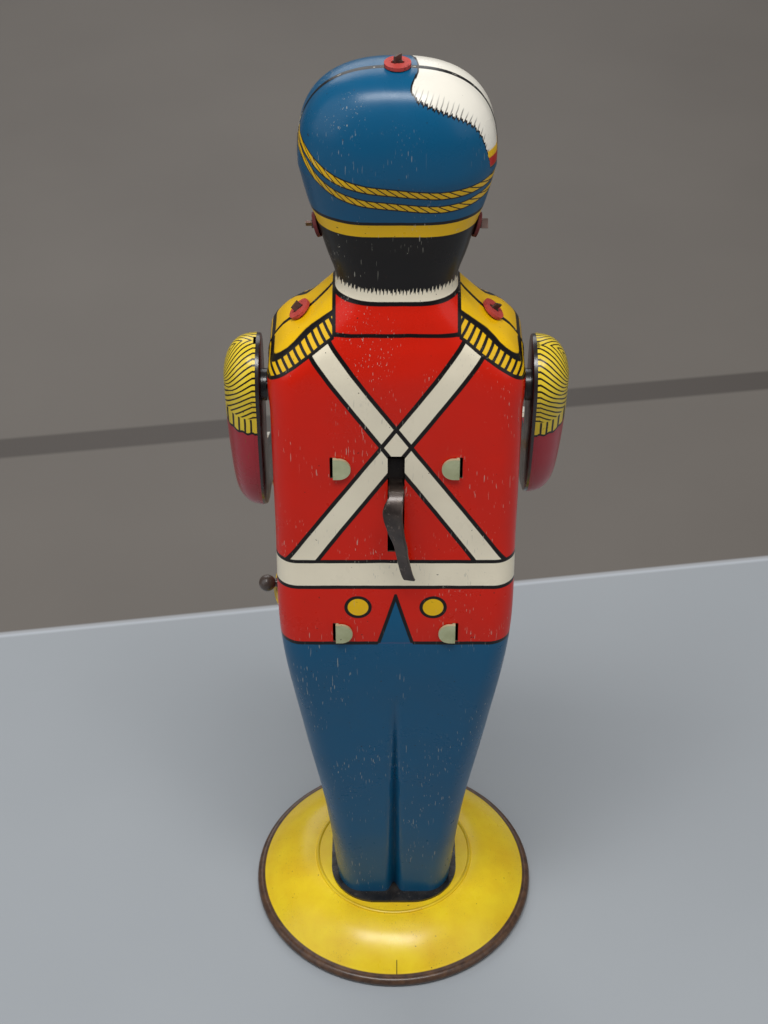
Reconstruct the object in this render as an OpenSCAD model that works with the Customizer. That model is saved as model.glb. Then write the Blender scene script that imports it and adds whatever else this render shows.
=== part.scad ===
// Wind-up tin drummer: two pressed half shells on a round base, a lever-wound
// clockwork between two side plates, two swinging arms and a drum.
// Millimetres, +Z up, the figure faces -Y, origin on the floor at the base's centre.

/* [Base] */
// Height of the flat top of the base
base_h = 14; // [10:1:18]
// Radius of the rolled rim's centre line
base_r = 50.6; // [46:0.1:60]
// Radius of the rolled rim's bead
bead_r = 1.8; // [1.4:0.1:2.4]
// Radius of the flat top
base_flat_r = 28.3; // [25:0.1:30]

/* [Body heights] */
// Base top to the coat's hem
leg_h = 139; // [115:1:170]
// Hem to the shoulder corner
coat_h = 97; // [88:1:117]
// Shoulder corner to the collar's top
slope_h = 24; // [20:1:29]
// Collar's top to the hat band
head_h = 23; // [19:1:28]
// Hat band to the top of the hat
hat_h = 46; // [38:1:56]

/* [Body widths] */
// Width of the trousers at the base
foot_w = 41.6; // [35:0.2:44]
// Width at the coat's hem
hem_w = 74.8; // [68:0.2:80]
// Width of the chest and shoulders
chest_w = 76.4; // [70:0.2:80]
// Width of the neck
neck_w = 35.6; // [30:0.2:43]
// Width of the head at the hat band
band_w = 46; // [39:0.2:54]
// Greatest width of the hat
hat_w = 55.6; // [47:0.2:66]

/* [Body depths] */
// Depth of the back at the base
foot_back = 20; // [17:0.2:22]
// Depth of the back at the hem
hem_back = 28.6; // [24:0.2:34]
// Depth of the back at the chest
chest_back = 21.3; // [20.4:0.2:25]
// Depth of the chest at the front
chest_front = 23; // [22:0.2:27]
// Depth of the hat at the back
hat_back = 17.5; // [15:0.2:21]
// Thickness of the tinplate
tin = 0.6; // [0.5:0.05:0.75]

/* [Motor] */
// Distance between the middles of the side plates
plate_gap = 37.6; // [32:0.2:42]
// Thickness of a side plate
plate_t = 0.9; // [0.75:0.05:1.1]
// Height of the winding arbor above the hem
wind_rise = 52; // [50:0.5:56]
// Radius of the arbors and the arm shafts
shaft_r = 1.5; // [1.25:0.05:1.8]
// Running clearance of a shaft in its hole
run_gap = 0.06; // [0.05:0.01:0.08]
// Tooth module of the wheels
tooth_m = 0.5; // [0.45:0.01:0.55]
// Teeth of the great wheel
great_teeth = 60; // [56:2:64]
// Teeth of the beat wheel
beat_teeth = 48; // [44:2:52]
// Teeth of the beat pinion
beat_pinion_teeth = 12; // [12:2:14]
// Teeth of the governor pinion
fly_pinion_teeth = 10; // [10:2:12]

/* [Winding lever] */
// Width of the lever's strip
lever_w = 4.8; // [4:0.1:5.6]
// Thickness of the lever's strip
lever_t = 1.2; // [1:0.1:1.4]
// Height of the slot in the back
slot_h = 36; // [33:0.5:40]
// Side clearance of the lever in the slot
slot_gap = 0.2; // [0.15:0.05:0.4]

/* [Arms] */
// Height of the arm pivots above the hem
arm_rise = 83; // [80:0.5:86]
// Width of the sleeve at the shoulder
sleeve_w = 26; // [22:0.5:30]
// Bulge of the arm's outer shell
sleeve_bulge = 9.6; // [8:0.2:11.5]
// Length from the pivot to the elbow's middle
upper_arm = 40; // [34:0.5:44]
// Length of the forearm beyond the elbow
forearm = 26; // [22:0.5:31]

/* [Drum] */
// Radius of the drum
drum_r = 21; // [18:0.1:25.2]
// Height of the drum
drum_h = 26; // [22:0.5:31]
// Lean of the drum to its side
drum_lean = 8; // [4:0.5:10]

/* [Hidden] */
$fn = 64;

// Heights of the figure's landmarks
foot_t = 1;
foot_z = base_h + foot_t;
hem_z = base_h + leg_h;
shoulder_z = hem_z + coat_h;
collar_z = shoulder_z + slope_h;
band_z = collar_z + head_h;
hat_top = band_z + hat_h;
hat_mid = band_z + 0.41 * hat_h;
arbor_z = hem_z + wind_rise;
arm_z = hem_z + arm_rise;

// ---- Curves -------------------------------------------------------------

// Cubic through the rows of a table whose first column is the height
function slope(t, i, c) =
    let (a = max(i - 1, 0), b = min(i + 1, len(t) - 1))
    (t[b][c] - t[a][c]) / (t[b][0] - t[a][0]);
function row_at(t, z, i = 0) =
    i >= len(t) - 2 || z < t[i + 1][0] ? i : row_at(t, z, i + 1);
function at(t, z, c) =
    let (i = row_at(t, z), h = t[i + 1][0] - t[i][0], u = (z - t[i][0]) / h)
    (2 * u * u * u - 3 * u * u + 1) * t[i][c] + (u * u * u - 2 * u * u + u) * h * slope(t, i, c)
    + (3 * u * u - 2 * u * u * u) * t[i + 1][c] + (u * u * u - u * u) * h * slope(t, i + 1, c);

// Smooth open curve through a list of points, steps points to each stretch
function spline(p, steps) = [
    for (i = [0 : len(p) - 2], k = [0 : steps - 1]) spline_point(p, i, k / steps),
    p[len(p) - 1]];
function spline_point(p, i, u) =
    let (a = p[max(i - 1, 0)], b = p[i], c = p[i + 1], d = p[min(i + 2, len(p) - 1)])
    0.5 * (2 * b + (c - a) * u + (2 * a - 5 * b + 4 * c - d) * u * u
    + (3 * b - a - 3 * c + d) * u * u * u);
function heading(p, i) =
    let (d = p[min(i + 1, len(p) - 1)] - p[max(i - 1, 0)]) d / norm(d);
// Closed outline of a strip that follows a plane curve
function strip_outline(p, t) = concat(
    [for (i = [0 : len(p) - 1]) p[i] + t / 2 * [-heading(p, i)[1], heading(p, i)[0]]],
    [for (i = [len(p) - 1 : -1 : 0]) p[i] - t / 2 * [-heading(p, i)[1], heading(p, i)[0]]]);

// Places a drawing whose plane is Y and Z, with its thickness along X
module in_yz(x, thick) {
    translate([x, 0, 0]) rotate([90, 0, 90]) linear_extrude(thick) children();
}
// A round bar along X
module bar_x(y, z, r, x0, x1) {
    translate([x0, y, z]) rotate([0, 90, 0]) cylinder(r = r, h = x1 - x0);
}

// ---- Body shells --------------------------------------------------------

hat_front = 20;
// Share of the hat's width and depth that its round corner takes
dome_rx = 0.84;
dome_ry = 0.8;
// height, half-width, back depth, front depth, corner's X radius, corner's Y radius
body = [
    [base_h, foot_w / 2, foot_back, foot_back, 9, 11],
    [base_h + 0.32 * leg_h, foot_w / 2 + 0.25 * (hem_w - foot_w) / 2,
        foot_back + 0.3 * (hem_back - foot_back), foot_back + 1, 9, 11],
    [base_h + 0.65 * leg_h, foot_w / 2 + 0.64 * (hem_w - foot_w) / 2,
        foot_back + 0.72 * (hem_back - foot_back), foot_back + 2, 8.5, 9],
    [hem_z, hem_w / 2, hem_back, chest_front, 7.5, 7],
    [hem_z + 0.43 * coat_h, chest_w / 2 - 0.4, hem_back - 0.6 * (hem_back - chest_back),
        chest_front - 1, 7, 6.5],
    [hem_z + 0.86 * coat_h, chest_w / 2 - 0.2, chest_back, chest_front, 7.5, 7],
    [shoulder_z + 1, chest_w / 2, chest_back - 1.3, chest_front - 2.5, 10, 9],
    [shoulder_z + 9, chest_w / 2 - 4.6, chest_back - 3.2, chest_front - 5, 13, 10],
    [shoulder_z + 0.56 * slope_h, chest_w / 2 - 10.6, chest_back - 4.7, 16, 13, 10],
    [shoulder_z + 0.8 * slope_h, neck_w / 2 + 4.2, chest_back - 6.4, 14.5, 12, 10],
    [collar_z, neck_w / 2 + 0.6, 13.4, 13.6, 12, 10],
    [collar_z + 5, neck_w / 2, 12.8, 14.2, 12, 10],
    [collar_z + 14, neck_w / 2 + 2.8, 13, 18.5, 13, 11],
    [band_z, band_w / 2, 13.4, 19.3, 15, 11.5],
    [band_z + 6.5, band_w / 2 + 2.3, 14.5, 19.6, 18, 13],
    [hat_mid, hat_w / 2, hat_back, hat_front, dome_rx * hat_w / 2, dome_ry * hat_back]];

// The hat's dome is a superellipse above its widest ring
dome_power = 2.6;
dome_last = 82;
function dome_up(a) = pow(sin(a), 2 / dome_power);
function dome_in(a) = pow(cos(a), 2 / dome_power);

ring_steps = 46;
dome_steps = 9;
side_n = 2;
corner_n = 5;
flat_n = 10;

// Groove between the trouser legs, and a small nose on the front
groove_top = base_h + 0.8 * leg_h;
function groove(x, z) =
    let (g = max(0, (groove_top - z) / (groove_top - base_h)))
    4.5 * pow(g, 0.7) * exp(-pow(x / (0.9 + 1.1 * g), 2));
function nose(x, z) = 4.2 * exp(-pow(x / 3.4, 2) - pow((z - band_z + 10) / 5, 2));

// One half ring of the shell at height z: w, d are its half-width and depth
function half_ring(z, w, d, rx, ry, front) = [
    for (p = concat(
        [for (i = [0 : side_n - 1]) [w, (d - ry) * i / side_n]],
        [for (i = [0 : corner_n - 1]) let (a = 90 * i / corner_n)
            [w - rx + rx * cos(a), d - ry + ry * sin(a)]],
        [for (i = [0 : flat_n]) let (u = 1 - 2 * i / flat_n)
            [(w - rx) * sign(u) * pow(abs(u), 1.5), d]],
        [for (i = [corner_n - 1 : -1 : 0]) let (a = 90 * i / corner_n)
            [-w + rx - rx * cos(a), d - ry + ry * sin(a)]],
        [for (i = [side_n - 1 : -1 : 0]) [-w, (d - ry) * i / side_n]]))
    let (y = p[1] - groove(p[0], z) * (p[1] > d - 0.5 ? 1 : 0) + (front ? nose(p[0], z) : 0)
        * (p[1] > d - 0.5 ? 1 : 0))
    [p[0], front ? 0 - y : y, z]];

function body_ring(z, cut, front) =
    half_ring(z, at(body, z, 1) - cut, at(body, z, front ? 3 : 2) - cut,
        at(body, z, 4) - cut / 2, at(body, z, 5) - cut / 2, front);
function dome_ring(a, cut, front) =
    let (w = hat_w / 2 * dome_in(a), d = (front ? hat_front : hat_back) * dome_in(a))
    half_ring(hat_mid + (hat_top - hat_mid - cut) * dome_up(a), w - cut, d - cut,
        dome_rx * (w - cut), dome_ry * (d - cut), front);

function shell_rings(cut, front) = concat(
    [for (i = [0 : ring_steps]) body_ring(foot_z + (hat_mid - foot_z) * i / ring_steps, cut, front)],
    [for (i = [1 : dome_steps]) dome_ring(dome_last * i / dome_steps, cut, front)]);

function flat_list(rings) = [for (r = rings, p = r) p];
function strip_faces(a, b, n, turn) = [
    for (k = [0 : n - 2], t = [0, 1])
        let (f = t == 0 ? [a + k, b + k, b + k + 1] : [a + k, b + k + 1, a + k + 1])
        turn ? [f[2], f[1], f[0]] : f];

function fan(a, n, hub, turn) = [
    for (k = [0 : n - 1]) let (b = (k + 1) % n) turn ? [a + b, a + k, hub] : [a + k, a + b, hub]];
// Point that closes a stack of rings, a little beyond the middle of its last ring
function ring_middle(r) = (r[0] + r[len(r) - 1]) / 4 + r[floor(len(r) / 2)] / 2;
function crown(rings) =
    let (m = len(rings), a = ring_middle(rings[m - 2]), b = ring_middle(rings[m - 1]))
    b + 0.3 * (b - a);

// Thin dish between two stacks of open rings; its first ring is open or closed
module dish(outer, inner, open_foot, flip) {
    n = len(outer[0]);
    m = len(outer);
    off = n * m;
    top = (m - 1) * n;
    seam = [for (i = [0 : m - 2], t = [0, 1])
        t == 0 ? [i * n, off + i * n, off + (i + 1) * n, (i + 1) * n]
            : [(i + 1) * n + n - 1, off + (i + 1) * n + n - 1, off + i * n + n - 1, i * n + n - 1]];
    hub = 2 * off;
    top_cap = concat(fan(top, n, hub, true), fan(off + top, n, hub + 1, false),
        [[top, off + top, off + top + n - 1, top + n - 1]]);
    foot_cap = [
        [for (k = [0 : n - 1]) k],
        [for (k = [n - 1 : -1 : 0]) off + k],
        [n - 1, off + n - 1, off, 0]];
    foot = open_foot ? strip_faces(off, 0, n, false) : foot_cap;
    skin = [for (i = [0 : m - 2], f = strip_faces(i * n, (i + 1) * n, n, false)) f];
    lining = [for (i = [0 : m - 2], f = strip_faces(off + i * n, off + (i + 1) * n, n, true)) f];
    raw = concat(skin, lining, seam, top_cap, foot);
    polyhedron(convexity = 8,
        points = concat(flat_list(outer), flat_list(inner), [crown(outer), crown(inner)]),
        faces = flip ? [for (f = raw) [for (k = [len(f) - 1 : -1 : 0]) f[k]]] : raw);
}
module half_shell(front) {
    dish(shell_rings(0, front), shell_rings(tin, front), true, front);
}

// What passes through the shells: every cut takes its size from the piece in it
bush_r = 3;
fit_gap = 0.1;
tab_w = 7.4;
tab_reach = 5.4;
upper_tab_z = hem_z + 68;
lower_tab_z = hem_z + 4.6;
slot_top = hem_z + 72.2;
function back_y(z) = at(body, z, 2);
function side_x(z) = at(body, z, 1);

// Tie straps: flat stampings in the seam's plane, their ends out through the seam
strap_w = 2.8;
ear_z = band_z - 3.5;
leg_tie_z = base_h + 39;
washer_x = chest_w / 2 - 10;
washer_z = shoulder_z + 13.1;
washer_tilt = 42;
strap_out = 1.9;
// Lean of the head's wall at the ears
ear_tilt = atan((side_x(ear_z + 5) - side_x(ear_z - 5)) / 10);

module strap_bar(len, extra = 0) {
    cube([len, tin + extra, strap_w + extra], center = true);
}
module strap_slots() {
    head_x = side_x(ear_z);
    for (s = [-1, 1]) {
        translate([s * head_x, 0, ear_z]) strap_bar(8, 2 * fit_gap);
        translate([s * side_x(leg_tie_z), 0, leg_tie_z]) strap_bar(8, 2 * fit_gap);
        on_shoulder(s) rotate([0, 90, 0]) strap_bar(9, 2 * fit_gap);
    }
    translate([0, 0, hat_top]) rotate([0, 90, 0]) strap_bar(8, 2 * fit_gap);
}
module shell_cuts() {
    strap_slots();
    bar_x(0, arm_z, bush_r + fit_gap, -chest_w, chest_w);
}

module back_shell() {
    color("firebrick") difference() {
        half_shell(false);
        shell_cuts();
        translate([-lever_w / 2 - slot_gap, 8, slot_top - slot_h])
            cube([lever_w + 2 * slot_gap, 40, slot_h]);
        for (s = [-1, 1], z = [upper_tab_z, lower_tab_z])
            translate([s * plate_gap / 2 - plate_t / 2 - fit_gap, 8, z - tab_w / 2 - fit_gap])
                cube([plate_t + 2 * fit_gap, 40, tab_w + 2 * fit_gap]);
    }
}
module front_shell() {
    color("firebrick") difference() {
        half_shell(true);
        shell_cuts();
        drum_stem(drum_stem_r + fit_gap);
    }
}

// Red fibre washer with a slot for its tab
washer_r = 3.7;
washer_t = 1;
washer_gap = 0.5;
module washer() {
    difference() {
        cylinder(r = washer_r, h = washer_t);
        translate([0, 0, washer_t / 2]) cube([strap_w + 0.8, tin + 0.6, 4], center = true);
    }
}
// The end of a strap above its washer, given a part turn with pliers
module twisted_tab(turn) {
    rotate([0, 0, turn]) translate([0, 0, strap_out / 2])
        cube([strap_w, tin, strap_out], center = true);
}
// A strap's end runs from inside the shell to its twist, above the washer
module strap_end(turn, inside, lift = 0) {
    twist_at = washer_gap + washer_t + lift;
    translate([0, 0, (twist_at + 0.2 - inside) / 2])
        cube([strap_w, tin, inside + twist_at + 0.2], center = true);
    translate([0, 0, twist_at]) twisted_tab(turn);
}
module on_hat() {
    translate([0, 0, hat_top]) children();
}
module on_ear(s) {
    translate([s * side_x(ear_z), 0, ear_z]) rotate([0, s * 90, 0]) children();
}
module on_shoulder(s) {
    translate([s * washer_x, 0, washer_z]) rotate([0, s * washer_tilt, 0]) children();
}
module hat_washer() {
    color("indianred") on_hat() translate([0, 0, washer_gap / 2]) washer();
}
module ear_washers() {
    color("indianred") for (s = [-1, 1]) on_ear(s) rotate([0, s * ear_tilt, 0])
        translate([0, 0, washer_gap]) washer();
}
module shoulder_washers() {
    color("indianred") for (s = [-1, 1]) on_shoulder(s) translate([0, 0, washer_gap]) washer();
}
module head_tie() {
    color("silver") {
        on_hat() strap_end(50, hat_top - ear_z);
        for (s = [-1, 1]) on_ear(s) strap_end(-40, side_x(ear_z) + 0.5, 0.8);
    }
}
module shoulder_tie() {
    color("silver") {
        for (s = [-1, 1]) on_shoulder(s) strap_end(35, 9);
        low_x = washer_x - 9 * sin(washer_tilt);
        low_z = washer_z - 9 * cos(washer_tilt);
        translate([0, 0, low_z]) cube([2 * low_x + 1, tin, strap_w], center = true);
    }
}
module leg_tie() {
    x = side_x(leg_tie_z);
    color("silver") {
        translate([0, 0, leg_tie_z]) strap_bar(2 * x + 1);
        for (s = [-1, 1]) translate([s * (x + 0.4), 0, leg_tie_z]) rotate([0, s * 90, 0])
            twisted_tab(45);
    }
}

// ---- Base ---------------------------------------------------------------

bead_z = bead_r - 0.2;
rim_z = 3.2;
dome_n = 12;
ring_rise = 0.45;
base_line = concat(
    [[0, base_h], [base_flat_r, base_h], [base_flat_r + 0.4, base_h + ring_rise],
        [base_flat_r + 0.9, base_h + ring_rise], [base_flat_r + 1.4, base_h - 0.3]],
    [for (i = [1 : dome_n]) let (u = i / dome_n)
        [base_flat_r + 1.4 + (base_r - base_flat_r - 2) * u,
            rim_z + (base_h - 0.3 - rim_z) * pow(cos(90 * u), 0.85)]]);
base_t = 0.8;
tab_x = 12;
foot_tab_w = 6;

module base_dome() {
    color("gold") difference() {
        rotate_extrude($fn = 128) difference() {
            union() {
                polygon(concat(base_line,
                    [for (i = [len(base_line) - 1 : -1 : 0]) base_line[i] - [0, base_t]]));
                translate([base_r, bead_z]) circle(bead_r, $fn = 32);
            }
            translate([0, -5]) square([base_r + 5, 5]);
        }
        for (s = [-1, 1]) translate([s * tab_x, 0, base_h])
            cube([foot_tab_w + 2 * fit_gap, 0.8 + 2 * fit_gap, 6], center = true);
    }
}
foot_rx = 23.5 - 20.8 + foot_w / 2;
foot_ry = foot_back + 4.6;
foot_round = 17;
module foot_plate() {
    color("black") {
        translate([0, 0, base_h]) {
            for (s = [-1, 1], t = [-1, 1])
                translate([s * (foot_rx - foot_round), t * (foot_ry - foot_round), 0])
                    cylinder(r = foot_round, h = foot_t);
            translate([-foot_rx, -foot_ry + foot_round, 0])
                cube([2 * foot_rx, 2 * (foot_ry - foot_round), foot_t]);
            translate([-foot_rx + foot_round, -foot_ry, 0])
                cube([2 * (foot_rx - foot_round), 2 * foot_ry, foot_t]);
        }
        for (s = [-1, 1]) {
            translate([s * tab_x - foot_tab_w / 2, -0.4, base_h - base_t - 1.2])
                cube([foot_tab_w, 0.8, base_t + 1.4]);
            translate([s * tab_x - foot_tab_w / 2, -0.4, base_h - base_t - 1.2])
                cube([foot_tab_w, 5, 0.8]);
        }
    }
}

// ---- Motor frame --------------------------------------------------------

plate_y = 17;
plate_low = hem_z - 3;
plate_high = arm_z + 9;
plate_inner = plate_gap / 2 - plate_t / 2;
plate_outer = plate_gap / 2 + plate_t / 2;
pillar_r = 2.2;
tenon_r = 1.2;
// Places on the side plates, each a Y and a Z
great_r = great_teeth * tooth_m / 2;
arbor_at = [0, arbor_z];
mesh_a = (great_teeth + beat_pinion_teeth) * tooth_m / 2;
mesh_b = (beat_teeth + fly_pinion_teeth) * tooth_m / 2;
beat_dir = 120;
fly_dir = 108;
beat_at = arbor_at + mesh_a * [cos(beat_dir), sin(beat_dir)];
fly_at = beat_at + mesh_b * [cos(fly_dir), sin(fly_dir)];
arm_at = [0, arm_z];
pillars = [[-13, plate_low + 5], [13, plate_low + 5], [0, arbor_z - 23], [13, plate_high - 4]];

module plate_tab(z) {
    lean = atan((back_y(z - 4) - back_y(z + 4)) / 8);
    reach = back_y(z) + 0.25;
    translate([-plate_t / 2, plate_y - 1, z - tab_w / 2])
        cube([plate_t, reach + plate_t / 2 - plate_y + 1, tab_w]);
    translate([-plate_t / 2, reach, z]) rotate([lean, 0, 0]) rotate([-90, 0, 0]) intersection() {
        translate([0, -tab_w / 2, 0]) cube([tab_reach, tab_w, plate_t]);
        union() {
            translate([0, -tab_w / 2, 0]) cube([tab_reach - tab_w / 2, tab_w, plate_t]);
            translate([tab_reach - tab_w / 2, 0, 0]) cylinder(r = tab_w / 2, h = plate_t);
        }
    }
}
// The left plate's middle is at X = 0 here, its tabs fold towards +X
module motor_plate() {
    difference() {
        union() {
            in_yz(-plate_t / 2, plate_t) difference() {
                translate([-plate_y, plate_low]) square([2 * plate_y, plate_high - plate_low]);
                translate([0, plate_low + 20]) circle(5);
                for (s = [-1, 1]) translate([s * plate_y, plate_low + 26]) circle(6);
            }
            plate_tab(upper_tab_z);
            plate_tab(lower_tab_z);
        }
        for (p = [arbor_at, beat_at, fly_at, arm_at])
            bar_x(p[0], p[1], shaft_r + run_gap, -5, 5);
        for (p = pillars) bar_x(p[0], p[1], tenon_r, -5, 5);
    }
}
module motor_plate_left() {
    color("tan") translate([plate_gap / 2, 0, 0]) mirror([1, 0, 0]) motor_plate();
}
module motor_plate_right() {
    color("tan") translate([-plate_gap / 2, 0, 0]) motor_plate();
}
module frame_pillars() {
    color("silver") for (p = pillars) {
        bar_x(p[0], p[1], pillar_r, -plate_inner, plate_inner);
        bar_x(p[0], p[1], tenon_r, -plate_outer - 0.8, plate_outer + 0.8);
    }
}

// ---- Wheels -------------------------------------------------------------

function tooth(n, a, r, da) = r * [cos(a + da * 360 / n), sin(a + da * 360 / n)];
function gear_outline(n, phase) = [
    for (i = [0 : n - 1]) let (a = phase + 360 * i / n, r = n * tooth_m / 2)
        each [tooth(n, a, r - 0.85 * tooth_m, -0.3), tooth(n, a, r + 0.6 * tooth_m, -0.11),
            tooth(n, a, r + 0.6 * tooth_m, 0.11), tooth(n, a, r - 0.85 * tooth_m, 0.3)]];
function ratchet_outline(n, r, depth) = [
    for (i = [0 : n - 1])
        each [tooth(n, 360 * i / n, r - depth, 0.02), tooth(n, 360 * i / n, r, 0)]];

module gear(p, n, phase, x0, x1, bore) {
    in_yz(x0, x1 - x0) translate(p) difference() {
        polygon(gear_outline(n, phase));
        circle(bore);
        if (n > 30) for (a = [0 : 90 : 270])
            rotate(a) translate([n * tooth_m * 0.29, 0]) circle(n * tooth_m * 0.11);
    }
}
end_play = 0.9;
arbor_end = plate_outer + end_play;
spring_x0 = -plate_inner + 0.9;
spring_x1 = -8;
ratchet_x = lever_w / 2 + 0.8;
ratchet_t = 1.2;
ratchet_r = 8;
drive_x = 12.2;
drive_r = 7;
great_x = 14.2;
great_t = 1.2;
ratchet_n = 20;
ratchet_deep = 1.2;
core_r = shaft_r + 1;

module winding_arbor() {
    color("silver") {
        bar_x(0, arbor_z, shaft_r, -arbor_end, arbor_end);
        bar_x(0, arbor_z, core_r, spring_x0, spring_x1);
    }
}
module ratchet(x, r) {
    in_yz(x, ratchet_t) translate(arbor_at) difference() {
        polygon(ratchet_outline(ratchet_n, r, ratchet_deep));
        circle(shaft_r);
    }
}
module winding_ratchet() {
    color("darkgray") ratchet(ratchet_x, ratchet_r);
}
module drive_ratchet() {
    color("darkgray") ratchet(drive_x, drive_r);
}
spring_turns = 6;
spring_leaf = 0.5;
spring_last = great_r - 0.5;
function spiral(r) = let (p = [for (i = [0 : spring_turns * 24])
    let (a = 15 * i, q = core_r + r + (spring_last - core_r - 1) * i / (spring_turns * 24))
    q * [cos(a), sin(a)]]) p;
module mainspring() {
    edge = spiral(spring_leaf);
    inner = spiral(0);
    color("slategray") in_yz(spring_x0 + 0.4, spring_x1 - spring_x0 - 0.8) translate(arbor_at)
        polygon(concat(edge, [for (i = [len(inner) - 1 : -1 : 0]) inner[i]]));
}
module great_wheel() {
    color("goldenrod") {
        gear(arbor_at, great_teeth, beat_dir, great_x, great_x + great_t, shaft_r + run_gap);
        bar_x(great_click_at[0], great_click_at[1], 0.8, drive_x - 0.3, great_x + 0.2);
    }
}
// A click: a small plate with a round end on a pin and a nose beside the ratchet
module click_plate(pivot, nose_tip, x, t) {
    in_yz(x, t) difference() {
        union() {
            translate(pivot) circle(1.9, $fn = 32);
            polygon([pivot + [1.6, 0.8], pivot + [-1.6, 1], nose_tip + [-0.1, 0.5],
                nose_tip, nose_tip + [1.2, -0.4]]);
        }
        translate(pivot) circle(0.8 + run_gap, $fn = 32);
    }
}
click_gap = 0.35;
great_click_at = arbor_at + [drive_r + 4, 3.4];
module great_click() {
    color("silver") click_plate(great_click_at, arbor_at + [drive_r + click_gap, 0], drive_x,
        ratchet_t);
}
module beat_arbor() {
    color("silver") bar_x(beat_at[0], beat_at[1], shaft_r, -arbor_end, arbor_end);
}
module beat_pinion() {
    color("goldenrod") gear(beat_at, beat_pinion_teeth, beat_dir + 180 + 180 / beat_pinion_teeth,
        great_x - 0.6, great_x + great_t + 0.6, shaft_r);
}
beat_t = 1.2;
module beat_wheel() {
    color("goldenrod") gear(beat_at, beat_teeth, fly_dir, -beat_t / 2, beat_t / 2, shaft_r);
}
pin_r = 0.6;
pin_ring = 6;
tail_x = 5.8;
tail_t = 1;
module lift_pins() {
    color("silver") for (s = [0, 1], a = [0 : 90 : 270])
        bar_x(beat_at[0] + pin_ring * cos(a + 45 * s), beat_at[1] + pin_ring * sin(a + 45 * s),
            pin_r, s == 0 ? beat_t / 2 : -tail_x - tail_t - 0.4,
            s == 0 ? tail_x + tail_t + 0.4 : -beat_t / 2);
}
module governor_arbor() {
    color("silver") bar_x(fly_at[0], fly_at[1], shaft_r, -arbor_end, arbor_end);
}
module governor_pinion() {
    color("goldenrod") gear(fly_at, fly_pinion_teeth, fly_dir + 180 + 180 / fly_pinion_teeth,
        -1.6, 1.6, shaft_r);
}
fly_r = 5;
module governor_fly() {
    color("silver") difference() {
        union() {
            bar_x(fly_at[0], fly_at[1], shaft_r + 1, -16, -9);
            translate([-16, fly_at[0] - 0.4, fly_at[1] - fly_r]) cube([7, 0.8, 2 * fly_r]);
        }
        bar_x(fly_at[0], fly_at[1], shaft_r, -17, -8);
    }
}

// ---- Winding lever ------------------------------------------------------

// Middle line of the strip from the hub to its curled end, about the arbor
lever_angle = 22;
slot_y = back_y(slot_top - 10);
lever_line = spline([[2.2, 0.9], [slot_y * 0.5, slot_y * 0.22], [slot_y + 0.5, 9.2],
    [slot_y + 5, 9.6], [slot_y + 8.6, 6], [slot_y + 9.4, -2], [slot_y + 8.8, -12],
    [slot_y + 8, -21]], 5);
hub_r = 3.2;
shutter_r = slot_y - 3.4;
pawl_at = arbor_at + 12 * [cos(lever_angle), sin(lever_angle)];
module winding_lever() {
    color("#3a2a20") difference() {
        union() {
            in_yz(-lever_w / 2, lever_w) translate(arbor_at) {
                circle(hub_r);
                polygon(strip_outline(lever_line, lever_t));
                difference() {
                    circle(shutter_r);
                    circle(shutter_r - 1);
                    rotate(lever_angle - 1) translate([-30, -60]) square([60, 60]);
                    rotate(lever_angle + 21) translate([-60, 0]) square([120, 60]);
                }
            }
            bar_x(pawl_at[0], pawl_at[1], 0.8, 0, ratchet_x + ratchet_t + 0.3);
        }
        bar_x(0, arbor_z, shaft_r + run_gap, -10, 10);
    }
}
module lever_pawl() {
    color("silver") click_plate(pawl_at, arbor_at + [ratchet_r + click_gap, 0], ratchet_x, ratchet_t);
}
coil_r = 3.7;
wire_r = 0.45;
coil_x = -6.4;
coil_len = 3.2;
module lever_spring() {
    color("silver") {
        difference() {
            bar_x(0, arbor_z, coil_r + wire_r, coil_x, coil_x + coil_len);
            bar_x(0, arbor_z, coil_r - wire_r, coil_x - 1, coil_x + coil_len + 1);
        }
        bar_z(coil_x + 0.7, -coil_r, arbor_z - 18, arbor_z);
        bar_y(coil_x + coil_len - 0.7, arbor_z - coil_r, 0, 9);
    }
}
module bar_z(x, y, z0, z1) {
    translate([x, y, z0]) cylinder(r = wire_r, h = z1 - z0, $fn = 24);
}
module bar_y(x, z, y0, y1) {
    translate([x, y0, z]) rotate([-90, 0, 0]) cylinder(r = wire_r, h = y1 - y0, $fn = 24);
}

// ---- Arms ---------------------------------------------------------------

arm_raised = 8;
body_side = side_x(arm_z);
bush_t = 1.2;
flange_r = 5;
collar_t = 1.6;
plate_x = body_side + 3.2;
dish_deep = 2;
sleeve_x = plate_x + dish_deep;
sleeve_r = sleeve_w / 2;
// Middle line and radius of the arm, hanging from its pivot
arm_line = [[0, 3.6, sleeve_r], [0, -upper_arm * 0.3, sleeve_r - 0.5],
    [0, -upper_arm * 0.67, sleeve_r - 2], [-3, -upper_arm + 3, sleeve_r - 3],
    [-12, -upper_arm - 4.5, sleeve_r - 3.6],
    [-10 - forearm * 0.5, -upper_arm - 9.5, sleeve_r - 5],
    [-9 - forearm, -upper_arm - 16, sleeve_r - 5.2]];
cap_n = 4;
arm_n = 12;

function arm_cap(p, d, cut, s) = [for (k = [0 : cap_n - 1]) let (a = 12 + 78 * (s < 0 ? k
    : cap_n - 1 - k) / cap_n) [p[0] + s * d[0] * (p[2] - cut) * cos(a),
    p[1] + s * d[1] * (p[2] - cut) * cos(a), (p[2] - cut) * sin(a), d[0], d[1]]];
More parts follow.
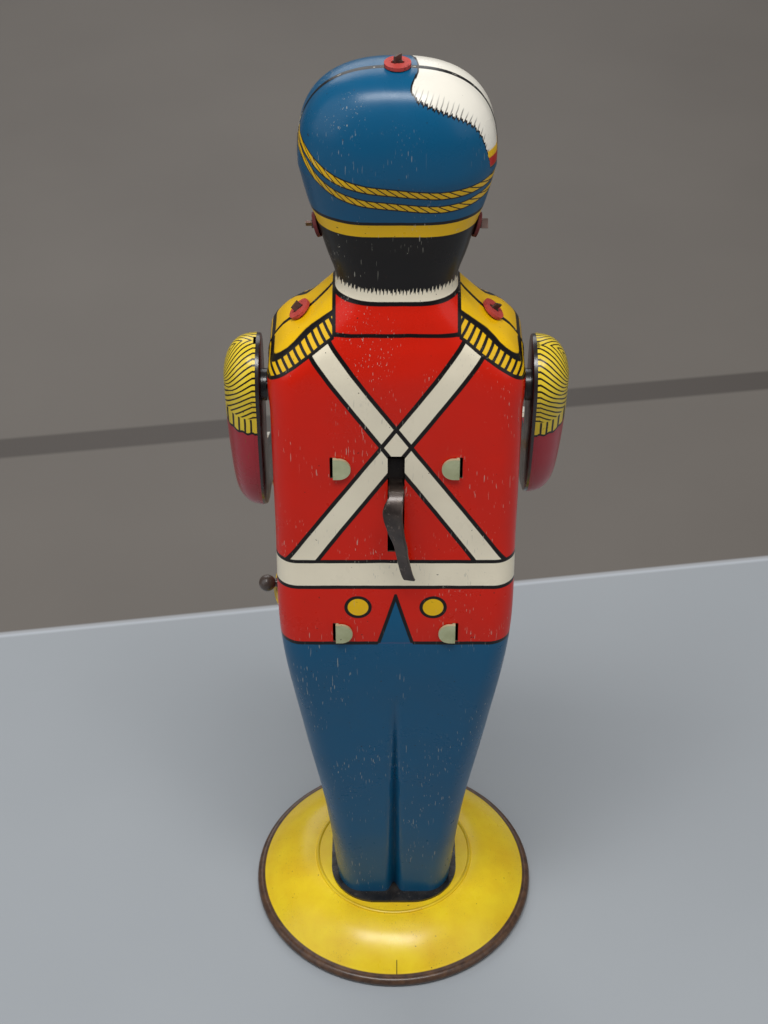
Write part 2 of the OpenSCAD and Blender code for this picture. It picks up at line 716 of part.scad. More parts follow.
// Stations of the arm: a point, a radius and a heading
function arm_stations(cut) =
    let (q = spline(arm_line, 4), flat = [for (p = q) [p[0], p[1]]], last = len(q) - 1)
    concat(arm_cap(q[0], heading(flat, 0), cut, -1),
        [for (i = [0 : last]) let (d = heading(flat, i)) [q[i][0], q[i][1], q[i][2] - cut, d[0], d[1]]],
        arm_cap(q[last], heading(flat, last), cut, 1));
function arm_ring(st, cut) = [for (k = [0 : arm_n]) let (a = 180 * k / arm_n)
    [sleeve_x + (sleeve_bulge * pow((st[2] + cut) / sleeve_r, 0.7) - cut) * sin(a),
        st[0] - st[4] * st[2] * cos(a), st[1] + st[3] * st[2] * cos(a)]];
function arm_outline(cut) = let (t = arm_stations(cut)) concat(
    [for (st = t) [st[0] - st[4] * st[2], st[1] + st[3] * st[2]]],
    [for (i = [len(t) - 1 : -1 : 0]) let (st = t[i]) [st[0] + st[4] * st[2], st[1] - st[3] * st[2]]]);

// Places a left arm's piece; side -1 mirrors it and raises that arm
module arm_place(side) {
    translate([0, 0, arm_z]) if (side > 0) children();
    else rotate([-arm_raised, 0, 0]) mirror([1, 0, 0]) children();
}
module arm_shell(side) {
    color("crimson") arm_place(side) difference() {
        dish([for (st = arm_stations(0)) arm_ring(st, 0)],
            [for (st = arm_stations(tin)) arm_ring(st, tin)], false, false);
        stick(side, stick_r + fit_gap);
    }
}
// A stick runs from inside the hand to a ball over the drum
stick_r = 1.1;
ball_r = 2.4;
hand_at = [sleeve_x + 3.2, -6 - forearm, -upper_arm - 15];
drum_x = 20.5;
drum_y = -(chest_front + drum_r + 3);
drum_z = base_h + 104;
ball_gap = 1;
function drum_top(x) = drum_z + ((drum_h / 2 - 1) + (x - drum_x) * sin(drum_lean)) / cos(drum_lean);
function stick_tip(x) = [x, drum_y + 1, drum_top(x) + ball_r + ball_gap - arm_z];
module along(a, b) {
    v = b - a;
    translate(a) rotate([0, acos(v[2] / norm(v)), atan2(v[1], v[0])]) children();
}
tip_x_left = 30;
tip_x_right = 9;
function tip_of(side) = let (t = stick_tip(side > 0 ? tip_x_left : tip_x_right))
    [side * t[0], t[1], t[2]];
module stick(side, r) {
    tip = tip_of(side);
    along(hand_at, tip) cylinder(r = r, h = norm(tip - hand_at), $fn = 32);
}
module drumstick(side) {
    color("burlywood") arm_place(side) {
        stick(side, stick_r);
        translate(tip_of(side)) sphere(ball_r, $fn = 32);
    }
}
module arm_plate(side) {
    color("black") arm_place(side) difference() {
        in_yz(plate_x, dish_deep) polygon(arm_outline(0));
        in_yz(plate_x + tin, dish_deep) polygon(arm_outline(tin));
        bar_x(0, 0, shaft_r, 0, 60);
        stick(side, stick_r + fit_gap);
    }
}
module arm_shaft(side) {
    color("dimgray") arm_place(side) {
        bar_x(0, 0, shaft_r, tail_x - 0.8, sleeve_x + sleeve_bulge - tin - 0.4);
        bar_x(0, 0, flange_r, plate_x - collar_t, plate_x);
    }
}
tail_len = norm(beat_at - arm_at) - pin_ring - pin_r - 0.4;
tail_dir = atan2(beat_at[1] - arm_at[1], beat_at[0] - arm_at[0]);
module arm_tail(side) {
    color("silver") translate([0, 0, arm_z]) mirror([side > 0 ? 0 : 1, 0, 0])
        in_yz(tail_x, tail_t) rotate(tail_dir) difference() {
            union() {
                circle(3);
                translate([0, -1.5]) square([tail_len - 1.5, 3]);
                translate([tail_len - 1.5, 0]) circle(1.5);
            }
            circle(shaft_r);
        }
}
module shoulder_bush(side) {
    color("black") mirror([side > 0 ? 0 : 1, 0, 0]) difference() {
        union() {
            bar_x(0, arm_z, bush_r, body_side - 2.4, body_side + 0.4);
            bar_x(0, arm_z, flange_r, body_side + 0.2, body_side + bush_t);
        }
        bar_x(0, arm_z, shaft_r + run_gap, 0, 60);
    }
}

// ---- Drum ---------------------------------------------------------------

drum_t = 0.8;
hoop_t = 1.2;
hoop_h = 4;
drum_stem_r = 2;
module drum_place() {
    translate([drum_x, drum_y, drum_z]) rotate([0, -drum_lean, 0]) children();
}
module drum_stem(r) {
    translate([drum_x, drum_y + drum_r - 3, drum_z]) rotate([-90, 0, 0]) cylinder(r = r, h = 12);
}
module tube(r, wall, z0, z1) {
    translate([0, 0, z0]) difference() {
        cylinder(r = r, h = z1 - z0);
        translate([0, 0, -1]) cylinder(r = r - wall, h = z1 - z0 + 2);
    }
}
module drum_shell() {
    color("red") difference() {
        drum_place() tube(drum_r, drum_t, -drum_h / 2, drum_h / 2);
        drum_stem(drum_stem_r + fit_gap);
        knob_place() cylinder(r = knob_stem, h = 8, center = true);
    }
}
module drum_head_top() {
    color("ivory") drum_place() translate([0, 0, drum_h / 2 - 1 - tin])
        cylinder(r = drum_r - drum_t, h = tin);
}
module drum_head_bottom() {
    color("ivory") drum_place() translate([0, 0, -drum_h / 2 + 1])
        cylinder(r = drum_r - drum_t, h = tin);
}
module hoop() {
    rotate_extrude() {
        translate([drum_r, 0]) square([hoop_t, hoop_h]);
        translate([drum_r - drum_t, hoop_h - 0.8]) square([drum_t + hoop_t, 0.8]);
    }
}
module drum_hoop_top() {
    color("gold") drum_place() translate([0, 0, drum_h / 2 + 0.8 - hoop_h]) hoop();
}
module drum_hoop_bottom() {
    color("gold") drum_place() mirror([0, 0, 1]) translate([0, 0, drum_h / 2 + 0.8 - hoop_h]) hoop();
}
// Rivet between the drum and the coat, with a collar that spaces them
module drum_bracket() {
    gap_y0 = drum_y + drum_r + 0.1;
    gap_y1 = -chest_front - 0.4;
    color("silver") {
        drum_stem(drum_stem_r);
        translate([drum_x, gap_y0, drum_z]) rotate([-90, 0, 0]) cylinder(r = 4, h = gap_y1 - gap_y0);
        translate([drum_x, drum_y + drum_r - 4, drum_z]) rotate([-90, 0, 0])
            cylinder(r = 3.4, h = 1);
        translate([drum_x, drum_y + drum_r + 8.6, drum_z]) rotate([-90, 0, 0])
            cylinder(r = 3.4, h = 1);
    }
}
knob_r = 3.1;
knob_stem = 1;
module knob_place() {
    drum_place() rotate([0, 0, 12]) translate([drum_r, 0, -drum_h / 2 + hoop_h + 2.4])
        rotate([0, 90, 0]) children();
}
module drum_knob() {
    color("#40302a") knob_place() {
        translate([0, 0, -2]) cylinder(r = knob_stem, h = 4);
        translate([0, 0, 1.6 + knob_r]) sphere(knob_r, $fn = 48);
        translate([0, 0, 0.2]) cylinder(r = 1.8, h = 2.2);
    }
}

base_dome();
foot_plate();
back_shell();
front_shell();
head_tie();
shoulder_tie();
leg_tie();
hat_washer();
ear_washers();
shoulder_washers();
motor_plate_left();
motor_plate_right();
frame_pillars();
shoulder_bush(1);  // shoulder_bush_left
shoulder_bush(-1);  // shoulder_bush_right
winding_arbor();
winding_ratchet();
drive_ratchet();
mainspring();
winding_lever();
lever_pawl();
lever_spring();
great_wheel();
great_click();
beat_arbor();
beat_pinion();
beat_wheel();
lift_pins();
governor_arbor();
governor_pinion();
governor_fly();
arm_shaft(1);  // arm_shaft_left
arm_shaft(-1);  // arm_shaft_right
arm_tail(1);  // arm_tail_left
arm_tail(-1);  // arm_tail_right
arm_shell(1);  // arm_shell_left
arm_shell(-1);  // arm_shell_right
arm_plate(1);  // arm_plate_left
arm_plate(-1);  // arm_plate_right
drumstick(1);  // drumstick_left
drumstick(-1);  // drumstick_right
drum_shell();
drum_head_top();
drum_head_bottom();
drum_hoop_top();
drum_hoop_bottom();
drum_bracket();
drum_knob();
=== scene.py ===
"""A wind-up tin drummer: printed half shells, pressed base, clockwork, arms and drum."""
import math

import bmesh
import bpy
from mathutils import Matrix, Vector


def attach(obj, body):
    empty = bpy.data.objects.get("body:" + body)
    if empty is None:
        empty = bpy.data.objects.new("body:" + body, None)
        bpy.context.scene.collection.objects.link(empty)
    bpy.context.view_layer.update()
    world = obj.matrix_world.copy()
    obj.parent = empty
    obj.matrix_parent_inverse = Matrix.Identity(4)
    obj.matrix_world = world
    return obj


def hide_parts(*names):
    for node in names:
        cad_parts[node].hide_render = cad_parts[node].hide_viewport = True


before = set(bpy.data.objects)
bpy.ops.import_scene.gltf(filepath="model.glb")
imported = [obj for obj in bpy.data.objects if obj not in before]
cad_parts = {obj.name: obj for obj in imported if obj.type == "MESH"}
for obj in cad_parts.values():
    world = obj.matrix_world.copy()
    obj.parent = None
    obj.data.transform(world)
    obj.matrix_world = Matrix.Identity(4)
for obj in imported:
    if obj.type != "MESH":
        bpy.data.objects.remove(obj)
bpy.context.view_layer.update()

# ---- Camera ---------------------------------------------------------------
# Stands behind and above the figure, looking down at its back.
scene = bpy.context.scene
eye = bpy.data.cameras.new("eye")
eye.lens = 66.8
eye.clip_start = 0.02
camera = bpy.data.objects.new("camera", eye)
camera.location = (0.0037, 0.4702, 0.5846)
camera.rotation_euler = (math.radians(49.6), 0, math.radians(180))
scene.collection.objects.link(camera)
scene.camera = camera
scene.view_settings.view_transform = "Standard"


# ---- Floor and light ------------------------------------------------------
# A plain pale floor under large soft lamps, with a darker room beyond its edge.
class Val:
    """A number that varies over a piece, built from Math nodes as it is written."""

    def __init__(self, tree, source):
        self.tree = tree
        self.source = source

    def op(self, kind, *others):
        node = self.tree.nodes.new("ShaderNodeMath")
        node.operation = kind
        for socket, value in zip(node.inputs, (self, *others)):
            if isinstance(value, Val):
                self.tree.links.new(value.source, socket)
            else:
                socket.default_value = value
        return Val(self.tree, node.outputs[0])

    def __add__(self, other):
        return self.op("ADD", other)

    def __sub__(self, other):
        return self.op("SUBTRACT", other)

    def __rsub__(self, other):
        return (self * -1) + other

    def __mul__(self, other):
        return self.op("MULTIPLY", other)

    def __truediv__(self, other):
        return self.op("DIVIDE", other)

    __radd__ = __add__
    __rmul__ = __mul__

    def abs(self):
        return self.op("ABSOLUTE")

    def min(self, other):
        return self.op("MINIMUM", other)

    def max(self, other):
        return self.op("MAXIMUM", other)

    def power(self, other):
        return self.op("POWER", other)

    def root(self):
        return self.op("SQRT")

    def sine(self):
        return self.op("SINE")

    def with_side(self, other):
        """Distance across a right angle whose sides are the two values."""
        return (self.power(2) + other.power(2)).root()

    def saw(self, period):
        """Repeats from minus to plus half a period, crossing zero once in each."""
        return (self.op("MODULO", period) + period).op("MODULO", period) - period / 2

    def inside(self, soft=0.12):
        """1 where the value is below zero, 0 above it, with a soft edge."""
        return self.ramp(-soft, soft, 1, 0, "SMOOTHSTEP")

    def line(self, half, soft=0.12):
        """1 on a stroke of the given half width where the value crosses zero."""
        return (self.abs() - half).inside(soft)

    def ramp(self, low, high, start=0.0, end=1.0, kind="LINEAR"):
        """Runs from start to end as the value goes from low to high."""
        node = self.tree.nodes.new("ShaderNodeMapRange")
        node.interpolation_type = kind
        self.tree.links.new(self.source, node.inputs["Value"])
        for label, value in (("From Min", low), ("From Max", high), ("To Min", start),
                             ("To Max", end)):
            node.inputs[label].default_value = value
        return Val(self.tree, node.outputs["Result"])


def shade(red, green, blue):
    """A display colour, 0 to 255, as the linear colour that a shader takes."""
    return tuple((c / 255 / 12.92 if c <= 10 else ((c / 255 + 0.055) / 1.055) ** 2.4)
                 for c in (red, green, blue)) + (1,)


class Finish:
    """A material in the making: its place on the piece in millimetres, and its coats."""

    def __init__(self, name, rough=0.3, metal=0.0, coat=0.0, sheen=0.5):
        self.material = bpy.data.materials.new(name)
        self.material.use_nodes = True
        self.tree = self.material.node_tree
        self.shader = self.tree.nodes["Principled BSDF"]
        self.shader.inputs["Roughness"].default_value = rough
        self.shader.inputs["Metallic"].default_value = metal
        self.shader.inputs["Coat Weight"].default_value = coat
        self.shader.inputs["Coat Roughness"].default_value = 0.2
        self.shader.inputs["Specular IOR Level"].default_value = sheen
        self.place = self.tree.nodes.new("ShaderNodeTexCoord").outputs["Object"]
        split = self.tree.nodes.new("ShaderNodeSeparateXYZ")
        self.tree.links.new(self.place, split.inputs[0])
        self.x, self.y, self.z = (Val(self.tree, s) * 1000 for s in split.outputs)

    def noise(self, size, detail=3.0, rough=0.5, stretch=(1, 1, 1), turn=0):
        """Cloudy noise whose lumps are about size millimetres, from 0 to 1."""
        bend = self.tree.nodes.new("ShaderNodeMapping")
        bend.inputs["Rotation"].default_value = (0, math.radians(turn), 0)
        bend.inputs["Scale"].default_value = stretch
        self.tree.links.new(self.place, bend.inputs["Vector"])
        node = self.tree.nodes.new("ShaderNodeTexNoise")
        node.inputs["Scale"].default_value = 1000 / size
        node.inputs["Detail"].default_value = detail
        node.inputs["Roughness"].default_value = rough
        self.tree.links.new(bend.outputs[0], node.inputs["Vector"])
        return Val(self.tree, node.outputs[0])

    def scratches(self, size, turn):
        """Thin broken streaks along one direction of the back, 1 on a scratch."""
        squeeze = 14.0
        streaks = self.noise(size, 1, 0.5, (squeeze, squeeze, 1), turn)
        return (0.735 - streaks).inside(0.012)

    def mix(self, mask, under, over):
        """under where mask is 0 and over where it is 1; each a colour or a socket."""
        node = self.tree.nodes.new("ShaderNodeMix")
        node.data_type = "RGBA"
        if isinstance(mask, Val):
            self.tree.links.new(mask.source, node.inputs[0])
        else:
            node.inputs[0].default_value = mask
        for socket, value in ((node.inputs[6], under), (node.inputs[7], over)):
            if isinstance(value, tuple):
                socket.default_value = value
            else:
                self.tree.links.new(value, socket)
        return node.outputs[2]

    def set(self, name, value):
        self.tree.links.new(value.source if isinstance(value, Val) else value,
                            self.shader.inputs[name])

    def relief(self, height, depth):
        """Bump from a height that runs 0 to 1, depth millimetres deep."""
        node = self.tree.nodes.new("ShaderNodeBump")
        node.inputs["Distance"].default_value = depth / 1000
        self.tree.links.new(height.source, node.inputs["Height"])
        self.tree.links.new(node.outputs[0], self.shader.inputs["Normal"])


sharp_fold = math.radians(35)


def new_piece(name, points, faces):
    """A mesh piece from points in millimetres, smooth except across sharp folds."""
    mesh = bpy.data.meshes.new(name)
    mesh.from_pydata([[c / 1000 for c in p] for p in points], [], faces)
    mesh.validate()
    mesh.shade_smooth()
    mesh.set_sharp_from_angle(angle=sharp_fold)
    piece = bpy.data.objects.new(name, mesh)
    scene.collection.objects.link(piece)
    return piece


floor_finish = Finish("pale_floor", rough=0.55, sheen=0.3)
cloud = floor_finish.noise(160, 4)
table_tone = floor_finish.mix(cloud, shade(150, 154, 158), shade(160, 164, 167))
# Beyond a slanting edge the table gives way to a darker room crossed by a band of painted shadow
edge_slope, edge_back, shadow_band_back, shadow_band_half = 0.147, 158.7, 135, 7.7
past_edge = floor_finish.y - floor_finish.x * edge_slope + edge_back
room_tone = floor_finish.mix(cloud, shade(98, 92, 86), shade(112, 106, 99))
# A dark band across the room: painted shadow, not a part of the room
shadow_band = (past_edge + shadow_band_back).line(shadow_band_half, 1.5)
room_tone = floor_finish.mix(shadow_band, room_tone, shade(78, 72, 67))
table_tone = floor_finish.mix(past_edge.inside(0.8), table_tone, room_tone)
# A painted highlight along the table's edge, a thin line lighter than the table
edge_highlight = past_edge.line(1.6, 0.8) * 0.5
floor_finish.set("Base Color", floor_finish.mix(edge_highlight, table_tone, shade(196, 200, 206)))
floor_size = 4000
floor = new_piece("floor", [(-floor_size, -floor_size, -0.3), (floor_size, -floor_size, -0.3),
                            (floor_size, floor_size, -0.3), (-floor_size, floor_size, -0.3)],
                  [(0, 1, 2, 3)])
floor.data.materials.append(floor_finish.material)

world = bpy.data.worlds.new("room")
world.use_nodes = True
world.node_tree.nodes["Background"].inputs[0].default_value = shade(196, 200, 206)
world.node_tree.nodes["Background"].inputs[1].default_value = 0.3
scene.world = world


def lamp(name, place, size, power, tint=(1, 1, 1)):
    light = bpy.data.lights.new(name, "AREA")
    light.shape = "RECTANGLE"
    light.size, light.size_y = size
    light.energy = power
    light.color = tint
    holder = bpy.data.objects.new(name, light)
    holder.location = place
    aim = Vector((0, 0, 0.16)) - Vector(place)
    holder.rotation_euler = aim.to_track_quat("-Z", "Y").to_euler()
    scene.collection.objects.link(holder)


lamp("ceiling_lamp", (0.05, 0.42, 1.5), (1.0, 0.34), 17)
lamp("window_lamp", (1.2, 0.5, 0.9), (1.3, 1.5), 6, (0.92, 0.96, 1))
lamp("low_lamp", (-1.3, 0.7, 0.9), (1.2, 1.4), 4)
lamp("front_lamp", (0.2, -1.4, 1.0), (1.2, 0.9), 7)


# ---- Body shells ----------------------------------------------------------
# The figure is two halves pressed from printed tinplate, the back lapped over
# the front along the side seams and held by straps whose ends are twisted.
hem_z, collar_z, band_z = 153.0, 274.0, 297.0
hat_mid, hat_top, foot_z = 315.86, 343.0, 15.0
hat_half, hat_back, hat_front = 27.8, 17.5, 20.0
arm_z, arbor_z = 236.0, 205.0
tin = 0.6
# height, half-width, back depth, front depth, corner radius in X, corner radius in Y
body_rows = (
    (14.0, 20.8, 20.0, 20.0, 9, 11), (58.5, 24.95, 22.6, 21.0, 9, 11),
    (104.35, 31.4, 26.2, 22.0, 8.5, 9), (hem_z, 37.4, 28.6, 23.0, 7.5, 7),
    (194.7, 37.8, 24.2, 22.0, 7, 6.5), (236.4, 38.0, 21.3, 23.0, 7.5, 7),
    (251.0, 38.2, 20.0, 20.5, 10, 9), (259.0, 33.6, 18.1, 18.0, 13, 10),
    (263.4, 27.6, 16.6, 16.0, 13, 10), (269.2, 22.0, 14.9, 14.5, 12, 10),
    (collar_z, 18.4, 13.4, 13.6, 12, 10), (279.0, 17.8, 12.8, 14.2, 12, 10),
    (288.0, 20.6, 13.0, 18.5, 13, 11), (band_z, 23.0, 13.4, 19.3, 15, 11.5),
    (303.5, 25.3, 14.5, 19.6, 18, 13), (hat_mid, hat_half, hat_back, hat_front, 23.35, 14.0))
dome_power, dome_rx, dome_ry = 2.6, 0.84, 0.8


def body_at(z, column):
    """Cubic through the body's rows, so the outline has no corners."""
    def tilt(i):
        a, b = body_rows[max(i - 1, 0)], body_rows[min(i + 1, len(body_rows) - 1)]
        return (b[column] - a[column]) / (b[0] - a[0])
    i = max(k for k in range(len(body_rows) - 1) if k == 0 or body_rows[k][0] <= z)
    low, high = body_rows[i], body_rows[i + 1]
    h = high[0] - low[0]
    u = (z - low[0]) / h
    return ((2 * u ** 3 - 3 * u ** 2 + 1) * low[column] + (u ** 3 - 2 * u ** 2 + u) * h * tilt(i)
            + (3 * u ** 2 - 2 * u ** 3) * high[column] + (u ** 3 - u ** 2) * h * tilt(i + 1))


def half_ring(z, w, d, rx, ry, front):
    """Half an outline of the figure at one height, from its left seam to its right."""
    side_n, corner_n, flat_n = 5, 14, 30
    lip = 0.0 if front else 0.25
    path = [(w + lip * max(0.0, 1 - (d - ry) * i / side_n / 1.4), (d - ry) * i / side_n)
            for i in range(side_n)]
    path += [(w - rx + rx * math.cos(a), d - ry + ry * math.sin(a))
             for a in (math.pi / 2 * i / corner_n for i in range(corner_n))]
    flat = [1 - 2 * i / flat_n for i in range(flat_n + 1)]
    right = [(-px, py) for px, py in reversed(path)]
    path += [((w - rx) * math.copysign(abs(u) ** 1.4, u), d) for u in flat]
    ring = []
    depth = max(0.0, (125.2 - z) / 111.2)
    for px, py in path + right:
        if py > d - 0.5:
            py -= 4.5 * depth ** 0.7 * math.exp(-(px / (0.8 + 0.9 * depth)) ** 2)
            if front:
                py += 4.2 * math.exp(-(px / 3.4) ** 2 - ((z - band_z + 10) / 5) ** 2)
        ring.append((px, -py if front else py, z))
    return ring


def shell_skin(front):
    """Outer surface of one half shell, as points and faces."""
    rings = []
    levels, dome = 190, 30
    for i in range(levels + 1):
        z = foot_z + (hat_mid - foot_z) * i / levels
        rings.append(half_ring(z, *(body_at(z, c) for c in (1, 3 if front else 2, 4, 5)), front))
    for i in range(1, dome + 1):
        a = math.radians(88 * i / dome)
        share = math.cos(a) ** (2 / dome_power)
        w, d = hat_half * share, (hat_front if front else hat_back) * share
        rings.append(half_ring(hat_mid + (hat_top - hat_mid) * math.sin(a) ** (2 / dome_power),
                               w, d, dome_rx * w, dome_ry * d, front))
    n = len(rings[0])
    faces = [(i * n + k, (i + 1) * n + k, (i + 1) * n + k + 1, i * n + k + 1)
             for i in range(len(rings) - 1) for k in range(n - 1)]
    faces.append(tuple(range((len(rings) - 1) * n + n - 1, (len(rings) - 1) * n - 1, -1)))
    if not front:
        faces = [face[::-1] for face in faces]
    return [p for ring in rings for p in ring], faces


def box_cutter(centre, size, turn_y=0.0):
    cutter = bmesh.new()
    bmesh.ops.create_cube(cutter, size=1)
    bmesh.ops.scale(cutter, vec=[s / 1000 for s in size], verts=cutter.verts)
    bmesh.ops.rotate(cutter, verts=cutter.verts, cent=(0, 0, 0),
                     matrix=Matrix.Rotation(math.radians(turn_y), 3, "Y"))
    bmesh.ops.translate(cutter, vec=[c / 1000 for c in centre], verts=cutter.verts)
    return cutter


def cut_from(piece, cutters):
    """Cuts a list of bmesh solids out of a piece."""
    joined = bpy.data.meshes.new("cutters")
    holder = bpy.data.objects.new("cutters", joined)
    scene.collection.objects.link(holder)
    whole = bmesh.new()
    for cutter in cutters:
        for face in cutter.faces:
            face.material_index = 1
        part = bpy.data.meshes.new("cutter")
        cutter.to_mesh(part)
        whole.from_mesh(part)
        cutter.free()
        bpy.data.meshes.remove(part)
    whole.to_mesh(joined)
    whole.free()
    tool = piece.modifiers.new("cut", "BOOLEAN")
    tool.operation = "DIFFERENCE"
    tool.solver = "EXACT"
    tool.object = holder
    settle(piece)
    bpy.data.objects.remove(holder)


def settle(piece):
    """Applies a piece's modifiers to its mesh and marks its sharp folds."""
    graph = bpy.context.evaluated_depsgraph_get()
    done = bpy.data.meshes.new_from_object(piece.evaluated_get(graph))
    piece.modifiers.clear()
    piece.data = done
    done.shade_smooth()
    done.set_sharp_from_angle(angle=sharp_fold)


def walled(piece, print_material):
    """Gives a skin its thickness inwards, printed outside and on its edge, bare tin inside."""
    piece.data.materials.append(print_material)
    piece.data.materials.append(plain_tin)
    wall = piece.modifiers.new("wall", "SOLIDIFY")
    wall.thickness = tin / 1000
    wall.offset = -1
    wall.material_offset = 1
    settle(piece)


def round_cutter(y, z, radius, x0, x1):
    """A round bar along X, for a bore."""
    cutter = bmesh.new()
    bmesh.ops.create_cone(cutter, cap_ends=True, segments=48, radius1=radius / 1000,
                          radius2=radius / 1000, depth=(x1 - x0) / 1000)
    for v in cutter.verts:
        v.co = Vector(((x0 + x1) / 2000 + v.co.z, y / 1000 + v.co.y, z / 1000 - v.co.x))
    return cutter


def metal(name, tone, dark, rough=0.32, metal=1.0):
    """Plain metal sheet or bar: rolled grain, a few dark spots and dull patches."""
    f = Finish(name, rough=rough, metal=metal)
    cloud = f.noise(9, 4, 0.6)
    streak = f.noise(2.4, 2, 0.5, (1, 1, 12))
    tone = f.mix(cloud.ramp(0.3, 0.8), tone, dark)
    tone = f.mix((0.76 - f.noise(1.3, 1)).inside(0.012) * 0.6, tone, shade(48, 36, 24))
    f.set("Base Color", tone)
    f.set("Roughness", cloud.ramp(0.2, 0.8, rough - 0.08, rough + 0.16) + streak * 0.08)
    f.relief(streak * 0.5 + f.noise(0.5, 1) * 0.3, 0.02)
    return f.material


plain_tin = metal("plain_tin", shade(196, 190, 170), shade(150, 140, 112))
red = shade(206, 26, 2)
blue = shade(0, 82, 120)
ink = shade(10, 8, 10)
cream = shade(232, 221, 196)
yellow = shade(232, 182, 10)
skin = shade(232, 186, 150)
worn_tin = shade(176, 172, 158)


def cloth_print(name, back):
    """The figure's litho print, drawn in millimetres over the half shell."""
    f = Finish(name, rough=0.3, coat=0.1, sheen=0.26)
    x, y, z = f.x, f.y, f.z
    side = x.abs()
    z = z + (f.noise(7, 2) - 0.5) * 0.35
    rise = z - hem_z
    coat = f.mix(rise.inside(0.15), red, blue)
    # Notch between the coat's tails
    notch_high, notch_slope = 19.2, 0.285
    notch = side - (rise * -1 + notch_high) * notch_slope
    coat = f.mix(notch.inside() * (rise * -1).inside(), coat, blue)
    hem_line = rise.line(0.7) * (1 - notch.inside())
    notch_line = notch.line(0.6) * (rise - notch_high - 0.8).inside() * (rise * -1).inside()
    coat = f.mix(hem_line.max(notch_line), coat, ink)
    button_r, button_rim, tail_button_x, tail_button_z = 3.3, 1.1, 12, 167.8
    if back:
        button = (side - tail_button_x).with_side(z - tail_button_z)
    else:
        # One row down the front, from the collar to the belt
        row_low, row_high, row_step = 175, 232, 14
        off_row = (z - row_low).inside(0.1) + 1 - (z - row_high).inside(0.1)
        button = side.with_side((z - 196).saw(row_step)) + off_row * 9
    coat = f.mix((button - button_r - button_rim).inside(), coat, ink)
    coat = f.mix((button - button_r).inside(), coat, yellow)
    # Cross belts, widening to the waist belt
    crossing_z, belt_z, belt_half = 228.4, 180.5, 4.9
    fringe_end = z + side * 0.78 - 278.9
    half = 3.7 - (z - 230) * 0.005
    within = (belt_z + 4.5 - z).inside() * fringe_end.inside()
    straps = [(x * (way * 0.823) - (z - crossing_z) * 0.568).abs() - half for way in (-1, 1)]
    for strap in straps:
        coat = f.mix(strap.inside() * within, coat, cream)
    for strap in straps:
        coat = f.mix(strap.line(0.68) * within, coat, ink)
    belt = (z - belt_z).abs() - belt_half
    coat = f.mix(belt.inside(), coat, cream)
    coat = f.mix(belt.line(0.66), coat, ink)
    # Shoulder boards with a striped fringe
    board = z + side * 0.866 - 286.2
    collar_x, collar_seam_z = 18.3, 265.3
    past_collar = (collar_x - side).inside()
    coat = f.mix((fringe_end * -1).inside() * past_collar, coat, yellow)
    stripes = (side * 0.756 - z * 0.654).saw(2.35)
    fringe = (fringe_end * -1).inside() * board.inside() * past_collar
    coat = f.mix(stripes.line(0.5) * fringe, coat, ink)
    coat = f.mix(board.line(0.6) * past_collar, coat, ink)
    coat = f.mix(fringe_end.line(0.55) * past_collar, coat, ink)
    beside = (collar_seam_z - 0.7 - z).inside() * (z - collar_z - 1).inside()
    coat = f.mix((side - collar_x).line(0.55) * beside, coat, ink)
    coat = f.mix((z - collar_seam_z).line(0.6) * (side - collar_x).inside(), coat, ink)
    # Cream neckband, then hair with a jagged end or the face
    strands = (x * 5.6 + f.noise(3, 1) * 5).sine() * 0.7 + (x * 12.3 + z).sine() * 0.5
    above = z - collar_z - 0.6
    coat = f.mix((above * -1).inside(), coat, cream)
    coat = f.mix(above.line(0.7), coat, ink)
    if back:
        nape = (y - 2.4 - (z - 279) * -0.04).inside(0.2)
        head = f.mix(nape, shade(18, 16, 16), cream)
        hair_z = 278.3
        edge = z - hair_z - side * 0.05 - strands
    else:
        head = face_print(f, x, z)
        chin_z = 278.6
        edge = z - chin_z
    coat = f.mix((edge * -1).inside(0.2), coat, head)
    # Yellow hat band and blue hat
    band_low, band_high = 296.8, 302
    coat = f.mix((band_low - z).inside(), coat, yellow)
    coat = f.mix((band_high - z).inside(), coat, blue)
    coat = f.mix((z - band_low).line(0.5).max((z - band_high).line(0.55)), coat, ink)
    # Two twisted cords round the hat
    quart = x.power(4)
    for base, tilt, curl, drift in ((313.3, 0.125, 1.15e-5, 1.6e-7),
                                    (308.2, 0.12, 1.5e-5, 2.0e-7)):
        cord = z - (x * tilt + quart * (x * drift + curl) + base)
        coat = f.mix((cord.abs() - 1.45).inside(), coat, ink)
        coat = f.mix((cord.abs() - 1.0).inside(), coat, yellow)
        twist = (x + cord * -1.5).saw(2.9)
        coat = f.mix(twist.line(0.32) * (cord.abs() - 1.1).inside(), coat, ink)
    # Cream feather that sweeps over the hat's right side to the seam
    feather_high, tip_z = 340.9, 317.4
    reach = (x * -1 - 4).max(0)
    lower = 339.6 - reach * 0.44 - (reach / 21.6).power(9) * 12
    wave = f.noise(4, 1) * 3
    barbs = (x * 4.1 + z * 1.2 + wave).sine() * 0.3 + (x * 9.1 + z * 3).sine() * 0.2
    depth_in = z - lower + barbs
    blunt = x + 3.9 + ((z - feather_high) / 1.6).max(-1).min(1.5).power(2) * 1.3 + barbs * 0.3
    plume = (depth_in * -1).inside(0.15) * blunt.inside(0.15) * (tip_z - z).inside()
    outline = (depth_in * -1 - 0.7).inside() * (blunt - 0.6).inside() * (tip_z - 0.4 - z).inside()
    strokes = (x + z * 0.5 + wave * 0.3).saw(1.7).line(0.17, 0.14)
    strokes = strokes * (depth_in - 3.2 + wave).inside(1.2)
    coat = f.mix(outline, coat, ink)
    coat = f.mix(plume, coat, shade(232, 226, 212))
    coat = f.mix(plume * strokes * 0.75, coat, ink)
    coat = f.mix((z - 322.6).inside(0.4) * plume, coat, yellow)
    coat = f.mix((z - 320.4).inside(0.3) * plume, coat, shade(180, 30, 24))
